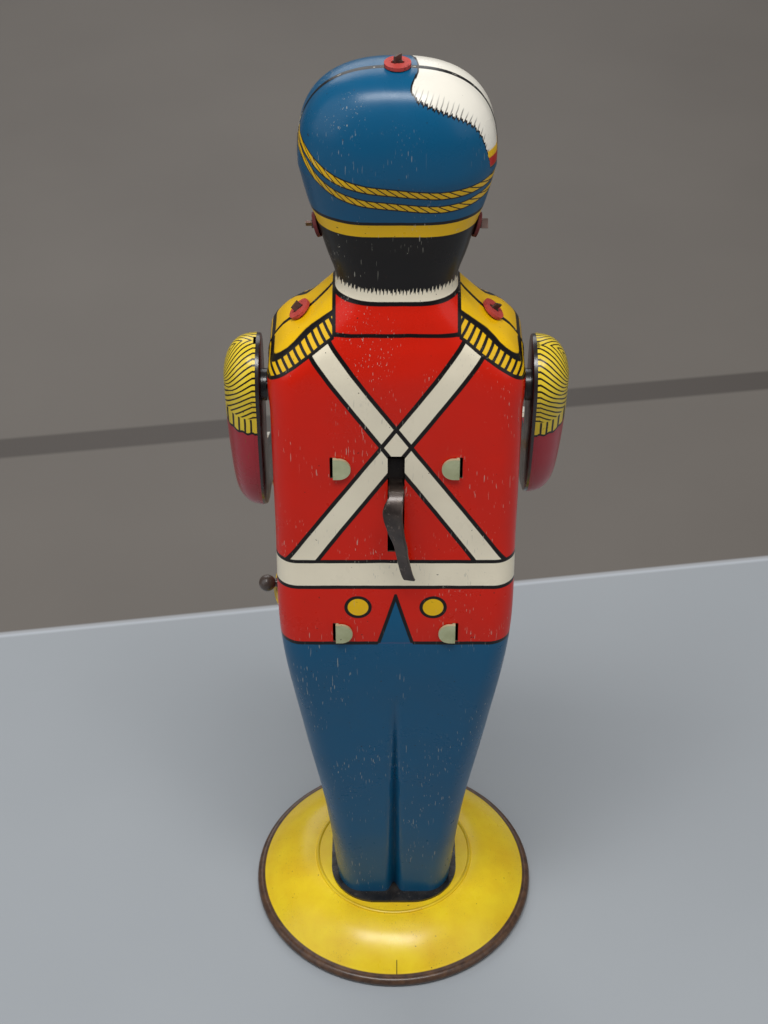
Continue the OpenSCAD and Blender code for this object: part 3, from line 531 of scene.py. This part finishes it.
    # The print stops short of the trimmed edge, which shows dark
    seam = y.abs()
    coat = f.mix((seam - 0.9).inside(0.15), coat, ink)
    return worn(f, coat, seam)


def face_print(f, x, z):
    """A plain doll-like face: eyes, brows, cheeks and a small mouth."""
    eye_x, eye_z, cheek_x, cheek_z, mouth_z, brow_z = 6.4, 290.6, 9.8, 284.8, 281.9, 294.2
    side = x.abs()
    cheek = (side - cheek_x).with_side(z - cheek_z)
    tone = f.mix((cheek - 2.6).inside(1.6), skin, shade(222, 120, 96))
    eye = ((side - eye_x) / 1.35).with_side(z - eye_z)
    tone = f.mix((eye - 1.75).inside(), tone, ink)
    tone = f.mix((eye - 1.45).inside(), tone, shade(240, 238, 230))
    pupil = (side - eye_x + 0.2).with_side(z - eye_z + 0.1)
    tone = f.mix((pupil - 1.0).inside(), tone, ink)
    brow = (z - brow_z) + (side - eye_x).power(2) * 0.06
    tone = f.mix(brow.line(0.35) * ((side - eye_x).abs() - 2.8).inside(), tone, ink)
    mouth = (z - mouth_z - side.power(2) * 0.07).abs() - (0.75 - side * 0.22)
    tone = f.mix(mouth.inside() * (side - 3.1).inside(), tone, shade(176, 40, 34))
    # Sideburn in front of the ear
    burn = side - 17.4 - (290 - z) * -0.32
    return f.mix((burn * -1).inside() * (283 - z).inside(), tone, ink)


def worn(f, coat, seam=None, chip_tone=worn_tin, dents=0.05):
    """Age over a print: handling grime, rubbed edges, chips, scratches and soft dents."""
    grime = f.noise(38, 5, 0.62)
    coat = f.mix(grime.ramp(0.35, 0.75, 0, 0.14), coat, shade(60, 46, 34))
    fleck = (0.765 - f.noise(1.7, 2, 0.6)).inside(0.012)
    patches = f.noise(26, 2).ramp(0.5, 0.62)
    chips = fleck * patches
    if seam is not None:
        rub = (f.noise(5, 4, 0.7) + seam * 0.12 - 0.43).inside(0.02) * (seam - 1.4).inside(0.3)
        chips = chips.max(rub)
    marks = f.scratches(5, 34).max(f.scratches(6, -48)).max(f.scratches(8, 80))
    chips = chips.max(marks * 0.6 * f.noise(19, 1).ramp(0.48, 0.6))
    coat = f.mix(chips, coat, chip_tone)
    speck = (0.79 - f.noise(1.2, 1)).inside(0.01)
    coat = f.mix(speck * 0.8, coat, shade(36, 24, 18))
    f.set("Base Color", coat)
    f.set("Roughness", f.noise(14, 4, 0.6).ramp(0.3, 0.75, 0.24, 0.4) + chips * 0.12)
    f.relief(f.noise(26, 2) + f.noise(0.6, 1) * 0.012 - chips * 0.03, dents * 6)
    return f.material


# Centre, size and turn of each slit that a strap's end comes out of
slit, tab_cut, lever_slot = 0.9, (2.0, 40, 7.6), (5.2, 40, 36)
strap_holes = [((0, 0, hat_top), (4, slit, 8), 0)]
for s in (-1, 1):
    strap_holes += [((s * 22.1, 0, 293.5), (8, slit, 4), 0), ((s * 23.0, 0, 53), (8, slit, 4), 0),
                    ((s * 28, 0, 262.6), (4, slit, 9), s * 42)]
for node, front in (("back_shell", False), ("front_shell", True)):
    shell = new_piece(node + "_pressing", *shell_skin(front))
    walled(shell, cloth_print(node + "_litho", not front))
    cuts = [box_cutter(*hole) for hole in strap_holes]
    cuts.append(round_cutter(0, arm_z, 3.1, -60, 60))
    if not front:
        cuts.append(box_cutter((0, 28, 207.2), lever_slot))
        cuts += [box_cutter((s * 19.2, 28, z), tab_cut) for s in (-1, 1) for z in (221, 157.6)]
    cut_from(shell, cuts)
    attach(shell, "figure")
    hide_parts(node)


# ---- Tie straps and washers -----------------------------------------------
# Flat tin straps cross inside the shells. Their ends come out through red fibre
# washers at the hat and shoulders and are given a part turn with pliers.
def dress(material, *nodes):
    """Gives CAD pieces that keep their shape their finish."""
    for node in nodes:
        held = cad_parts[node]
        held.data.materials.clear()
        held.data.materials.append(material)


fibre = Finish("fibre_red", rough=0.62, sheen=0.35)
fibre_tone = fibre.mix(fibre.noise(3, 5, 0.7), shade(196, 76, 66), shade(160, 50, 46))
# The washers at the ears get a darker copy of the same red: painted shade on the sides of the head
ear_shade = (18 - fibre.x.abs()).inside(0.5) * (285 - fibre.z).inside(0.5)
fibre_tone = fibre.mix(ear_shade * 0.8, fibre_tone, shade(70, 24, 26))
fibre_speck = fibre.noise(0.8, 2).ramp(0.6, 0.7)
fibre.set("Base Color", fibre.mix(fibre_speck, fibre_tone, shade(120, 36, 34)))
fibre.relief(fibre.noise(0.5, 3, 0.7), 0.12)
dress(fibre.material, "hat_washer", "ear_washers", "shoulder_washers")
tie_steel = metal("tie_steel", shade(112, 92, 84), shade(60, 44, 40), rough=0.42, metal=0.7)
dress(tie_steel, "head_tie", "shoulder_tie", "leg_tie")


# ---- Base -----------------------------------------------------------------
# A shallow dome pressed from printed tinplate, with a flat raised ring round the
# feet and its edge rolled over into a bead that stands on the floor.
base_h, base_r, bead_r, flat_r = 14.0, 50.6, 1.8, 28.3


def lathe(name, profile, turns=160, centre=(0, 0, 0), turn=None):
    """Turned piece from (radius, height) points, closed where the radius is 0."""
    points, faces, rows = [], [], []
    for radius, height in profile:
        if radius < 1e-6:
            rows.append([len(points)] * turns)
            points.append((0.0, 0.0, height))
            continue
        rows.append(list(range(len(points), len(points) + turns)))
        points += [(radius * math.cos(2 * math.pi * k / turns),
                    radius * math.sin(2 * math.pi * k / turns), height) for k in range(turns)]
    for low, high in zip(rows, rows[1:]):
        for k in range(turns):
            j = (k + 1) % turns
            corner = []
            for index in (low[k], low[j], high[j], high[k]):
                if index not in corner:
                    corner.append(index)
            if len(corner) > 2:
                faces.append(corner)
    if turn is not None:
        points = [tuple(turn @ Vector(p)) for p in points]
    points = [tuple(a + b for a, b in zip(p, centre)) for p in points]
    return new_piece(name, points, faces)


def base_profile():
    bead_z = bead_r - 0.2
    top = [(flat_r * k / 6, base_h) for k in range(7)]
    ring = [(flat_r + 1.4 * k / 10, base_h + 0.45 * math.sin(math.pi * k / 10) ** 0.6)
            for k in range(1, 10)]
    run = base_r - flat_r - 2
    side = [(flat_r + 1.4 + run * k / 40,
             3.2 + 10.5 * max(0.0, math.cos(math.pi / 2 * k / 40)) ** 0.85) for k in range(39)]
    bead = [(base_r + bead_r * math.cos(a), max(0.02, bead_z + bead_r * math.sin(a)))
            for a in (math.radians(96 - 250 * k / 28) for k in range(29))]
    under = [(r, z - 0.7) for r, z in reversed(top + side[:-2])]
    return under[::-1] + bead[::-1] + side[::-1] + ring[::-1] + top[::-1]


base_print = Finish("base_litho", rough=0.3, coat=0.15, sheen=0.35)
bx, by, bz = base_print.x, base_print.y, base_print.z
reach = bx.with_side(by)
cloud = base_print.noise(16, 5, 0.65)
tone = base_print.mix(cloud.ramp(0.3, 0.75), shade(236, 206, 34), shade(222, 180, 24))
stain = (bz - 2.2 + (base_print.noise(5, 4, 0.7) - 0.5) * 3.0).inside(0.9)
tone = base_print.mix(stain * 0.5, tone, shade(112, 78, 40))
tick = (bx + 1).line(0.16) * (by * -1 + 45.6).inside(0.2)
tone = base_print.mix(tick, tone, ink)
bead = (base_r - 1.1 - reach).inside(0.2)
rust = base_print.noise(3, 4, 0.7).ramp(0.3, 0.7)
rust = base_print.mix(rust, shade(52, 36, 30), shade(96, 68, 48))
tone = base_print.mix(bead, tone, rust)
tone = base_print.mix((reach - flat_r - 0.7).line(0.25, 0.3) * 0.35, tone, shade(120, 90, 30))
base_material = worn(base_print, tone, chip_tone=shade(128, 96, 54), dents=0.04)
base = lathe("base_pressing", base_profile(), turns=256)
base.data.materials.append(base_material)
cut_from(base, [box_cutter((s * 12, 0, base_h), (6.2, 1.0, 6)) for s in (-1, 1)])
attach(base, "figure")
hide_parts("base_dome")


# ---- Foot plate -----------------------------------------------------------
# The shoes' soles: one black enamelled plate under both legs, its tabs bent over
# inside the base. Its shape is the CAD plate's own.
def enamel(name, tone, rub, rough=0.18, rubbed=0.64, metal=0.0):
    """Glossy paint over metal, with fine dust and scuffs."""
    f = Finish(name, rough=rough, coat=0.4, metal=metal)
    cloud = f.noise(8, 4, 0.6)
    paint = f.mix(cloud.ramp(0.35, 0.75, 0, 0.5), tone, rub)
    bare = f.noise(2.2, 4, 0.7).ramp(rubbed, rubbed + 0.04)
    f.set("Base Color", f.mix(bare * 0.7, paint, rub))
    f.set("Roughness", cloud.ramp(0.3, 0.75, rough, rough + 0.2) + bare * 0.2)
    f.relief(f.noise(5, 2) + f.noise(0.5, 1) * 0.05, 0.12)
    return f.material


shoe_black = enamel("shoe_black", shade(18, 17, 18), shade(70, 64, 58))
dress(shoe_black, "foot_plate")


# ---- Motor frame ----------------------------------------------------------
# Two tinned side plates held apart by four riveted pillars. The plates' round
# ended tabs come out through the back and are folded over to hold the motor.
tab_tin = metal("tab_tin", shade(206, 208, 168), shade(168, 170, 128), rough=0.4, metal=0.55)
dress(tab_tin, "motor_plate_left", "motor_plate_right")
steel = metal("dark_steel", shade(120, 116, 110), shade(72, 68, 62), rough=0.3)
dress(steel, "frame_pillars", "winding_arbor", "winding_ratchet", "drive_ratchet",
      "lever_pawl", "great_click", "beat_arbor", "lift_pins", "governor_arbor", "arm_tail_left",
      "arm_tail_right", "governor_fly")
brass = metal("wheel_brass", shade(214, 176, 92), shade(160, 118, 50), rough=0.26)
dress(brass, "great_wheel", "beat_pinion", "beat_wheel", "governor_pinion")
blued = metal("spring_steel", shade(92, 98, 118), shade(52, 50, 58), rough=0.22)
dress(blued, "mainspring", "lever_spring")


# ---- Winding lever --------------------------------------------------------
# A browned steel strip that turns on the winding arbor. It comes out through
# the slot, curls over and ends in a twisted thumb piece; a shutter fills the slot.
def spline(points, steps):
    """Smooth curve through points, steps to each stretch."""
    out = []
    for i in range(len(points) - 1):
        a, b = points[max(i - 1, 0)], points[i]
        c, d = points[i + 1], points[min(i + 2, len(points) - 1)]
        for k in range(steps):
            u = k / steps
            out.append(tuple(0.5 * (2 * q + (r - p) * u + (2 * p - 5 * q + 4 * r - t) * u * u
                                    + (3 * q - p - 3 * r + t) * u ** 3)
                             for p, q, r, t in zip(a, b, c, d)))
    return out + [tuple(points[-1])]


def stack(name, outlines):
    """Piece from a stack of like outlines, its first and last filled in."""
    n = len(outlines[0])
    faces = [(i * n + k, i * n + (k + 1) % n, (i + 1) * n + (k + 1) % n, (i + 1) * n + k)
             for i in range(len(outlines) - 1) for k in range(n)]
    faces += [tuple(reversed(range(n))), tuple(range((len(outlines) - 1) * n, len(outlines) * n))]
    return new_piece(name, [p for outline in outlines for p in outline], faces)


slot_y = 22.6
lever_path = spline(((2.2, 0.9), (slot_y / 2, slot_y * 0.22), (slot_y + 0.5, 9.2),
                     (slot_y + 5, 9.6), (slot_y + 8.6, 6), (slot_y + 9.4, -2),
                     (slot_y + 8.8, -12), (slot_y + 8, -21)), 10)


def thumb_strip(name, path, half_width, thick, twist_from, twist):
    """Flat strip along a (y, z) path about the arbor. Past twist_from it widens into
    a leaf, turns on itself and sweeps sideways to a narrower cut end."""
    half, edge = thick / 2, 0.35
    rows = []
    for i, (py, pz) in enumerate(path):
        ahead, behind = path[min(i + 1, len(path) - 1)], path[max(i - 1, 0)]
        run = Vector((0, ahead[0] - behind[0], ahead[1] - behind[1])).normalized()
        share = max(0.0, i / (len(path) - 1) - twist_from) / (1 - twist_from)
        roll = Matrix.Rotation(math.radians(twist * math.sin(math.pi * share * 0.9)), 3, run)
        across, out = roll @ Vector((1, 0, 0)), roll @ Vector((0, -run.z, run.y))
        wide = half_width + 0.9 * math.sin(math.pi * min(1.0, share * 1.5)) - 0.5 * share ** 2
        sweep = 1.3 * math.sin(math.pi * min(1.0, share * 1.7)) - 4.2 * share ** 2.2
        middle = Vector((sweep, py, arbor_z + pz - 1.2 * share * (sweep < 0)))
        section = [(-wide + edge, -half), (wide - edge, -half), (wide, -half + edge),
                   (wide, half - edge), (wide - edge, half), (-wide + edge, half),
                   (-wide, half - edge), (-wide, -half + edge)]
        rows.append([tuple(middle + across * a + out * b) for a, b in section])
    return stack(name, rows)


def joined(name, *pieces):
    """One piece from several, each keeping its own finish."""
    holder = bmesh.new()
    whole = bpy.data.meshes.new(name)
    slots = []
    for piece in pieces:
        for material in piece.data.materials:
            if material not in slots:
                slots.append(material)
        lookup = [slots.index(m) for m in piece.data.materials]
        for polygon in piece.data.polygons:
            polygon.material_index = lookup[polygon.material_index] if lookup else 0
        holder.from_mesh(piece.data)
        bpy.data.objects.remove(piece)
    holder.to_mesh(whole)
    holder.free()
    for material in slots:
        whole.materials.append(material)
    out = bpy.data.objects.new(name, whole)
    scene.collection.objects.link(out)
    whole.shade_smooth()
    whole.set_sharp_from_angle(angle=sharp_fold)
    return out


def bar_along_x(name, y, z, radius, x0, x1):
    """Round bar or boss along X with softened ends."""
    length, edge = x1 - x0, 0.15
    profile = [(0, 0), (radius - edge, 0), (radius, edge), (radius, length - edge),
               (radius - edge, length), (0, length)]
    return lathe(name, profile, turns=48, centre=(x0, y, z),
                 turn=Matrix.Rotation(math.pi / 2, 3, "Y"))


browned = enamel("lever_brown", shade(44, 34, 30), shade(112, 98, 88), rough=0.3, rubbed=0.6,
                 metal=0.55)
shutter_r, shutter_half = slot_y - 3.4, 2.4
shutter_rows = []
for i in range(23):
    a = math.radians(21 + i)
    ring = []
    for r, way in ((shutter_r - 1, -1), (shutter_r - 1, 1), (shutter_r, 1), (shutter_r, -1)):
        ring.append((way * shutter_half, r * math.cos(a), arbor_z + r * math.sin(a)))
    shutter_rows.append(ring)
lever_angle = math.radians(22)
pawl_reach = 12
pawl_y = pawl_reach * math.cos(lever_angle)
pawl_z = arbor_z + pawl_reach * math.sin(lever_angle)
lever_parts = [thumb_strip("lever_strip", lever_path, 2.4, 1.2, 0.46, 32),
               stack("lever_shutter", shutter_rows),
               bar_along_x("lever_hub", 0, arbor_z, 3.2, -2.4, 2.4),
               bar_along_x("lever_pin", pawl_y, pawl_z, 0.8, 0, 4.7)]
for piece in lever_parts:
    piece.data.materials.append(browned)
lever = joined("lever_forging", *lever_parts)
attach(lever, "winder")
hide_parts("winding_lever")


# ---- Arms -----------------------------------------------------------------
# Each arm is a hollow printed pressing, closed by a black back plate that is
# crimped along its edge. Its shaft turns in a bright bush in the shoulder.
plate_x, sleeve_x, sleeve_r, sleeve_bulge = 41.2, 43.2, 13.0, 9.6
arm_path = ((0, 3.6, 13), (0, -12, 12.5), (0, -26.8, 11), (-3, -37, 10),
            (-12, -44.5, 9.4), (-23, -49.5, 8), (-35, -56, 7.8))
arm_raise = {"left": 0, "right": 8}


def arm_stations():
    """Points down the arm: place, radius and heading, with round ends."""
    line = spline(arm_path, 12)
    out, caps = [], 14
    for i, (y, z, r) in enumerate(line):
        a, b = line[max(i - 1, 0)], line[min(i + 1, len(line) - 1)]
        size = math.hypot(b[0] - a[0], b[1] - a[1])
        out.append((y, z, r, (b[0] - a[0]) / size, (b[1] - a[1]) / size))

    def cap(station, way):
        y, z, r, dy, dz = station
        for k in range(caps):
            a = math.radians(8 + 82 * k / caps)
            past = way * r * math.cos(a)
            yield (y + dy * past, z + dz * past, r * math.sin(a), dy, dz)
    return list(cap(out[0], -1)) + out + list(cap(out[-1], 1))[::-1]


def placed(side, points):
    """Moves left-arm points about the pivot to that side's arm at rest."""
    turn = Matrix.Rotation(math.radians(-arm_raise[side]), 3, "X")
    flip = 1 if side == "left" else -1
    return [tuple(turn @ Vector((flip * x, y, z)) + Vector((0, 0, arm_z))) for x, y, z in points]


def sleeve_skin(side):
    rows = []
    for y, z, r, dy, dz in arm_stations():
        row = [(sleeve_x - 0.8, r + 0.2), (sleeve_x + 0.15, r + 0.2)]
        bulge = sleeve_bulge * (r / sleeve_r) ** 0.7
        row += [(sleeve_x + 0.2 + (bulge - 0.2) * math.sin(a), r * math.cos(a))
                for a in (math.pi * k / 28 for k in range(29))]
        row += [(sleeve_x + 0.15, -r - 0.2), (sleeve_x - 0.8, -r - 0.2)]
        rows.append([(px, y - dz * across, z + dy * across) for px, across in row])
    n = len(rows[0])
    faces = [(i * n + k, i * n + k + 1, (i + 1) * n + k + 1, (i + 1) * n + k)
             for i in range(len(rows) - 1) for k in range(n - 1)]
    faces += [tuple(range(n))[::-1], tuple(range((len(rows) - 1) * n, len(rows) * n))]
    if side == "right":
        faces = [face[::-1] for face in faces]
    return placed(side, [p for row in rows for p in row]), faces


def sleeve_print(side):
    """Yellow fringed epaulette over a crimson sleeve, a cream cuff and a white glove."""
    f = Finish("sleeve_litho_" + side, rough=0.3, coat=0.1, sheen=0.28)
    c, s = math.cos(math.radians(arm_raise[side])), math.sin(math.radians(arm_raise[side]))
    rise, y = f.z - arm_z, f.y
    v = y * s + rise * c
    w = y * c - rise * s
    out = ((f.x.abs() - sleeve_x) / 9.9).max(0).min(0.99)
    # Fringe strands fall outwards from the edge, evenly round the shoulder's curve
    round_top = (v - 3.6).max(0).op("ARCTAN2", w.abs() + 0.01) * 13
    down = v.min(3.6) + round_top
    droop = out * 5.4 + (1 - (1 - out * out).root()) * 8
    wobble = (f.noise(6, 2) - 0.5) * 0.5
    hem = v + 9.6 - (out * 21).sine() * 0.3
    tone = f.mix(hem.inside(), shade(226, 196, 50), shade(166, 40, 52))
    strands = (down + droop + wobble).saw(1.95).line(0.33) * (v * -1 - 3.8).inside(0.2)
    bars = (out * 9.9 + wobble).saw(1.9).line(0.32) * (v + 4).inside(0.2) * (hem * -1).inside()
    tone = f.mix(strands.max(bars).max(hem.line(0.45)), tone, ink)
    forearm = (w * 0.885 + v * 0.466) * -1
    cuff, cuff_wide = forearm - 44.5, 6
    tone = f.mix((cuff * -1).inside(), tone, cream)
    tone = f.mix(cuff.line(0.4).max((cuff - cuff_wide).line(0.4)), tone, ink)
    tone = f.mix((cuff_wide - cuff).inside(), tone, shade(236, 230, 216))
    finger = (v - w * 0.5).saw(3.4).line(0.22) * (10.5 - cuff).inside(0.2)
    tone = f.mix(finger, tone, ink)
    return worn(f, tone, chip_tone=shade(120, 88, 40))


plate_black = enamel("plate_black", shade(20, 12, 14), shade(50, 42, 38), rough=0.24, rubbed=0.7)
bush_black = enamel("bush_black", shade(24, 22, 22), shade(84, 78, 72), rough=0.26, rubbed=0.68)


def back_plate(side):
    """Shallow tray that follows the arm's outline."""
    stations = arm_stations()
    rows = [(sleeve_x, 0.0), (plate_x + 0.5, 0.0), (plate_x + 0.1, 0.15), (plate_x, 0.5)]
    outlines = []
    for px, inset in rows:
        upper, lower = [[(px, y - way * dz * (r - min(inset, r / 2)),
                          z + way * dy * (r - min(inset, r / 2)))
                         for y, z, r, dy, dz in stations] for way in (1, -1)]
        outlines.append(placed(side, upper + lower[::-1]))
    return stack("arm_tray_" + side, outlines)


for side in ("left", "right"):
    sleeve = new_piece("sleeve_" + side, *sleeve_skin(side))
    walled(sleeve, sleeve_print(side))
    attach(sleeve, "arm_" + side)
    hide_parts("arm_shell_" + side)
    tray = back_plate(side)
    tray.data.materials.append(plate_black)
    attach(tray, "arm_" + side)
    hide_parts("arm_plate_" + side)
dress(bush_black, "shoulder_bush_left", "shoulder_bush_right", "arm_shaft_left",
      "arm_shaft_right")


# ---- Drumsticks -----------------------------------------------------------
# Turned beech, thinner towards the bead at the tip, varnished.
drum_x, drum_y, drum_z, drum_lean = 20.5, -47.0, 118.0, math.radians(8)
drum_r, drum_h = 21.0, 26.0
beech = Finish("beech", rough=0.34, coat=0.2)
grain = beech.noise(3.2, 4, 0.6, (3, 3, 0.35))
beech_tone = beech.mix(grain.ramp(0.3, 0.7), shade(214, 176, 122), shade(166, 120, 72))
handled = beech.noise(7, 3).ramp(0.55, 0.75, 0, 0.5)
beech.set("Base Color", beech.mix(handled, beech_tone, shade(110, 76, 46)))
beech.set("Roughness", grain.ramp(0.3, 0.7, 0.28, 0.46))
beech.relief(grain, 0.05)


def stick_profile(length):
    """Stick from its butt in the hand to its bead, as (radius, distance)."""
    tip_r = 2.4
    bead = [(tip_r * math.sin(a), length - tip_r * math.cos(a))
            for a in (math.radians(26 + 154 * k / 16) for k in range(17))]
    neck = [(1.1 - 0.25 * (k / 8) ** 2, length * (0.55 + 0.38 * k / 8)) for k in range(9)]
    return [(0, 0), (0.8, 0), (1.1, 0.3)] + neck + [bead[0]] + bead[:-1] + [(0, length + tip_r)]


for side, tip_x in (("left", 30.0), ("right", 9.0)):
    hand = Vector((sleeve_x + 3.2, -32, -55))
    tip_z = drum_z + (drum_h / 2 - 1 + (tip_x - drum_x) * math.sin(drum_lean)) / math.cos(drum_lean)
    flip = 1 if side == "left" else -1
    tip = Vector((flip * tip_x, drum_y + 1, tip_z + 3.4 - arm_z))
    run = tip - hand
    aim = run.to_track_quat("Z", "Y").to_matrix()
    stick = lathe("stick_" + side, stick_profile(run.length), turns=40)
    points = [aim @ (v.co * 1000) + hand for v in stick.data.vertices]
    for v, p in zip(stick.data.vertices, placed(side, points)):
        v.co = Vector(p) / 1000
    if side == "right":
        stick.data.flip_normals()
    stick.data.materials.append(beech.material)
    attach(stick, "arm_" + side)
    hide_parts("drumstick_" + side)


# ---- Drum -----------------------------------------------------------------
# A printed tin drum at the figure's hip: red side with yellow cords, two parchment
# coloured heads, rolled yellow hoops, and a dark turned knob on its side.
lean = Matrix.Rotation(-drum_lean, 3, "Y")
drum_place = (drum_x, drum_y, drum_z)


def drum_piece(name, profile, material, slot, *nodes, turns=192):
    piece = lathe(name, profile, turns=turns, centre=drum_place, turn=lean)
    piece.data.materials.append(material)
    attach(piece, "figure")
    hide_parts(*nodes)
    return piece


drum_red = enamel("drum_red", shade(188, 36, 22), shade(120, 30, 22), rough=0.24, rubbed=0.7)
hoop_yellow = enamel("hoop_yellow", shade(222, 182, 44), shade(130, 96, 34), rough=0.26,
                     rubbed=0.68)
hide = Finish("drum_hide", rough=0.42)
hide_cloud = hide.noise(12, 5, 0.65).ramp(0.3, 0.75)
hide_tone = hide.mix(hide_cloud, shade(232, 222, 196), shade(204, 186, 148))
hide_fleck = hide.noise(2, 3, 0.7).ramp(0.6, 0.72, 0, 0.5)
hide.set("Base Color", hide.mix(hide_fleck, hide_tone, shade(150, 124, 86)))
hide.set("Roughness", hide.noise(9, 3).ramp(0.3, 0.7, 0.34, 0.52))
hide.relief(hide.noise(1.4, 4, 0.6), 0.08)
half, barrel_in = drum_h / 2, drum_r - 0.8
drum_piece("drum_barrel", [(barrel_in, -half), (drum_r, -half)]
           + [(drum_r, -half + drum_h * k / 12) for k in range(1, 12)]
           + [(drum_r, half), (barrel_in, half), (barrel_in, -half)],
           drum_red, "drum_red", "drum_shell")
roll_r = 0.6
for name, way, node in (("drum_hoop_upper", 1, "drum_hoop_top"),
                        ("drum_hoop_lower", -1, "drum_hoop_bottom")):
    roll = [(drum_r + roll_r + roll_r * math.cos(a), half + 0.2 + roll_r * math.sin(a))
            for a in (math.radians(-60 + 210 * k / 14) for k in range(15))]
    profile = [(drum_r + 0.05, half - 3.2), (drum_r + 0.8, half - 3.2), (drum_r + 1.15, half - 2.9),
               (drum_r + 1.2, half - 1.5), (drum_r + 0.9, half - 0.6)] + roll \
        + [(barrel_in, half + 0.6), (barrel_in, half + 0.05), (drum_r + 0.05, half + 0.05),
           (drum_r + 0.05, half - 3.2)]
    if way < 0:
        profile = [(r, -z) for r, z in reversed(profile)]
    drum_piece(name, profile, hoop_yellow, "drum_yellow", node)
skin_r, skin_dip = 20.2, 0.22
for name, way, node in (("drum_skin_upper", 1, "drum_head_top"),
                        ("drum_skin_lower", -1, "drum_head_bottom")):
    top = half - 1
    face = [(skin_r * k / 14, top - skin_dip + skin_dip * (k / 14) ** 4) for k in range(15)]
    profile = [(0, top - 0.7), (skin_r, top - 0.6)] + face[::-1]
    if way < 0:
        profile = [(r, -z) for r, z in reversed(profile)]
    drum_piece(name, profile, hide.material, "drum_white", node)


def cord_group():
    """Node group that repeats one slanting cord round the drum, in alternate leans."""
    group = bpy.data.node_groups.new("drum_cords", "GeometryNodeTree")
    for label, kind, start in (("Count", "NodeSocketInt", 12),
                               ("Radius", "NodeSocketFloat", 0.021),
                               ("Height", "NodeSocketFloat", 0.018),
                               ("Thickness", "NodeSocketFloat", 0.0004),
                               ("Slant", "NodeSocketFloat", 0.26)):
        group.interface.new_socket(label, in_out="INPUT", socket_type=kind).default_value = start
    group.interface.new_socket("Finish", in_out="INPUT", socket_type="NodeSocketMaterial")
    group.interface.new_socket("Cords", in_out="OUTPUT", socket_type="NodeSocketGeometry")
    make, link = group.nodes.new, group.links.new
    given, result = make("NodeGroupInput"), make("NodeGroupOutput")

    def maths(kind, first, second):
        node = make("ShaderNodeMath")
        node.operation = kind
        for socket, value in zip(node.inputs, (first, second)):
            if hasattr(value, "links"):
                link(value, socket)
            else:
                socket.default_value = value
        return node.outputs[0]

    # One cord is a straight bar, short enough to lie on the drum's side
    bar = make("GeometryNodeMeshCylinder")
    bar.inputs["Vertices"].default_value = 12
    bar.inputs["Side Segments"].default_value = 6
    link(given.outputs["Thickness"], bar.inputs["Radius"])
    link(given.outputs["Height"], bar.inputs["Depth"])
    spots = make("GeometryNodeMeshLine")
    bars = maths("MULTIPLY", given.outputs["Count"], 2)
    link(bars, spots.inputs["Count"])
    spots.inputs["Offset"].default_value = (0, 0, 0)
    index = make("GeometryNodeInputIndex").outputs[0]
    angle = maths("MULTIPLY", maths("DIVIDE", index, bars), 2 * math.pi)
    place = make("ShaderNodeCombineXYZ")
    link(maths("MULTIPLY", maths("COSINE", angle, 0), given.outputs["Radius"]), place.inputs[0])
    link(maths("MULTIPLY", maths("SINE", angle, 0), given.outputs["Radius"]), place.inputs[1])
    moved = make("GeometryNodeSetPosition")
    link(spots.outputs[0], moved.inputs["Geometry"])
    link(place.outputs[0], moved.inputs["Position"])
    parity = maths("MULTIPLY", maths("SUBTRACT", maths("MODULO", index, 2), 0.5), 2)
    turn = make("ShaderNodeCombineXYZ")
    link(maths("MULTIPLY", parity, given.outputs["Slant"]), turn.inputs[0])
    link(angle, turn.inputs[2])
    copies = make("GeometryNodeInstanceOnPoints")
    link(moved.outputs[0], copies.inputs["Points"])
    link(bar.outputs[0], copies.inputs["Instance"])
    link(turn.outputs[0], copies.inputs["Rotation"])
    real, paint = make("GeometryNodeRealizeInstances"), make("GeometryNodeSetMaterial")
    link(copies.outputs[0], real.inputs[0])
    link(real.outputs[0], paint.inputs["Geometry"])
    link(given.outputs["Finish"], paint.inputs["Material"])
    link(paint.outputs[0], result.inputs[0])
    return group


cords = new_piece("drum_cords", [(0, 0, 0)], [])
tie = cords.modifiers.new("cords", "NODES")
tie.node_group = cord_group()
cord_sizes = {"Count": 10, "Radius": (drum_r + 0.25) / 1000, "Height": 0.0196, "Thickness": 0.00042,
              "Slant": 0.33, "Finish": hoop_yellow}
for item in tie.node_group.interface.items_tree:
    if item.in_out == "INPUT":
        tie[item.identifier] = cord_sizes[item.name]
settle(cords)
cords.data.transform(Matrix.Translation([c / 1000 for c in drum_place]) @ lean.to_4x4())
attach(cords, "figure")

knob_dark = enamel("knob_dark", shade(58, 44, 38), shade(110, 92, 78), rough=0.3, rubbed=0.66)
knob_r = 3.1
knob_profile = [(0, -2), (1, -2), (1, 0.2), (1.8, 0.25), (1.85, 0.9), (1.5, 1.6), (1.4, 2.1)] \
    + [(knob_r * math.sin(a), 1.6 + knob_r - knob_r * math.cos(a))
       for a in (math.radians(30 + 150 * k / 20) for k in range(20))] + [(0, 1.6 + 2 * knob_r)]
knob_lean = lean @ Matrix.Rotation(math.radians(12), 3, "Z")
knob_turn = knob_lean @ Matrix.Rotation(math.pi / 2, 3, "Y")
knob_at = knob_lean @ Vector((drum_r, 0, -half + 6.4))
knob = lathe("side_knob", knob_profile, turns=48,
             centre=[a + b for a, b in zip(drum_place, knob_at)], turn=knob_turn)
knob.data.materials.append(knob_dark)
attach(knob, "figure")
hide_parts("drum_knob")
dress(plain_tin, "drum_bracket")
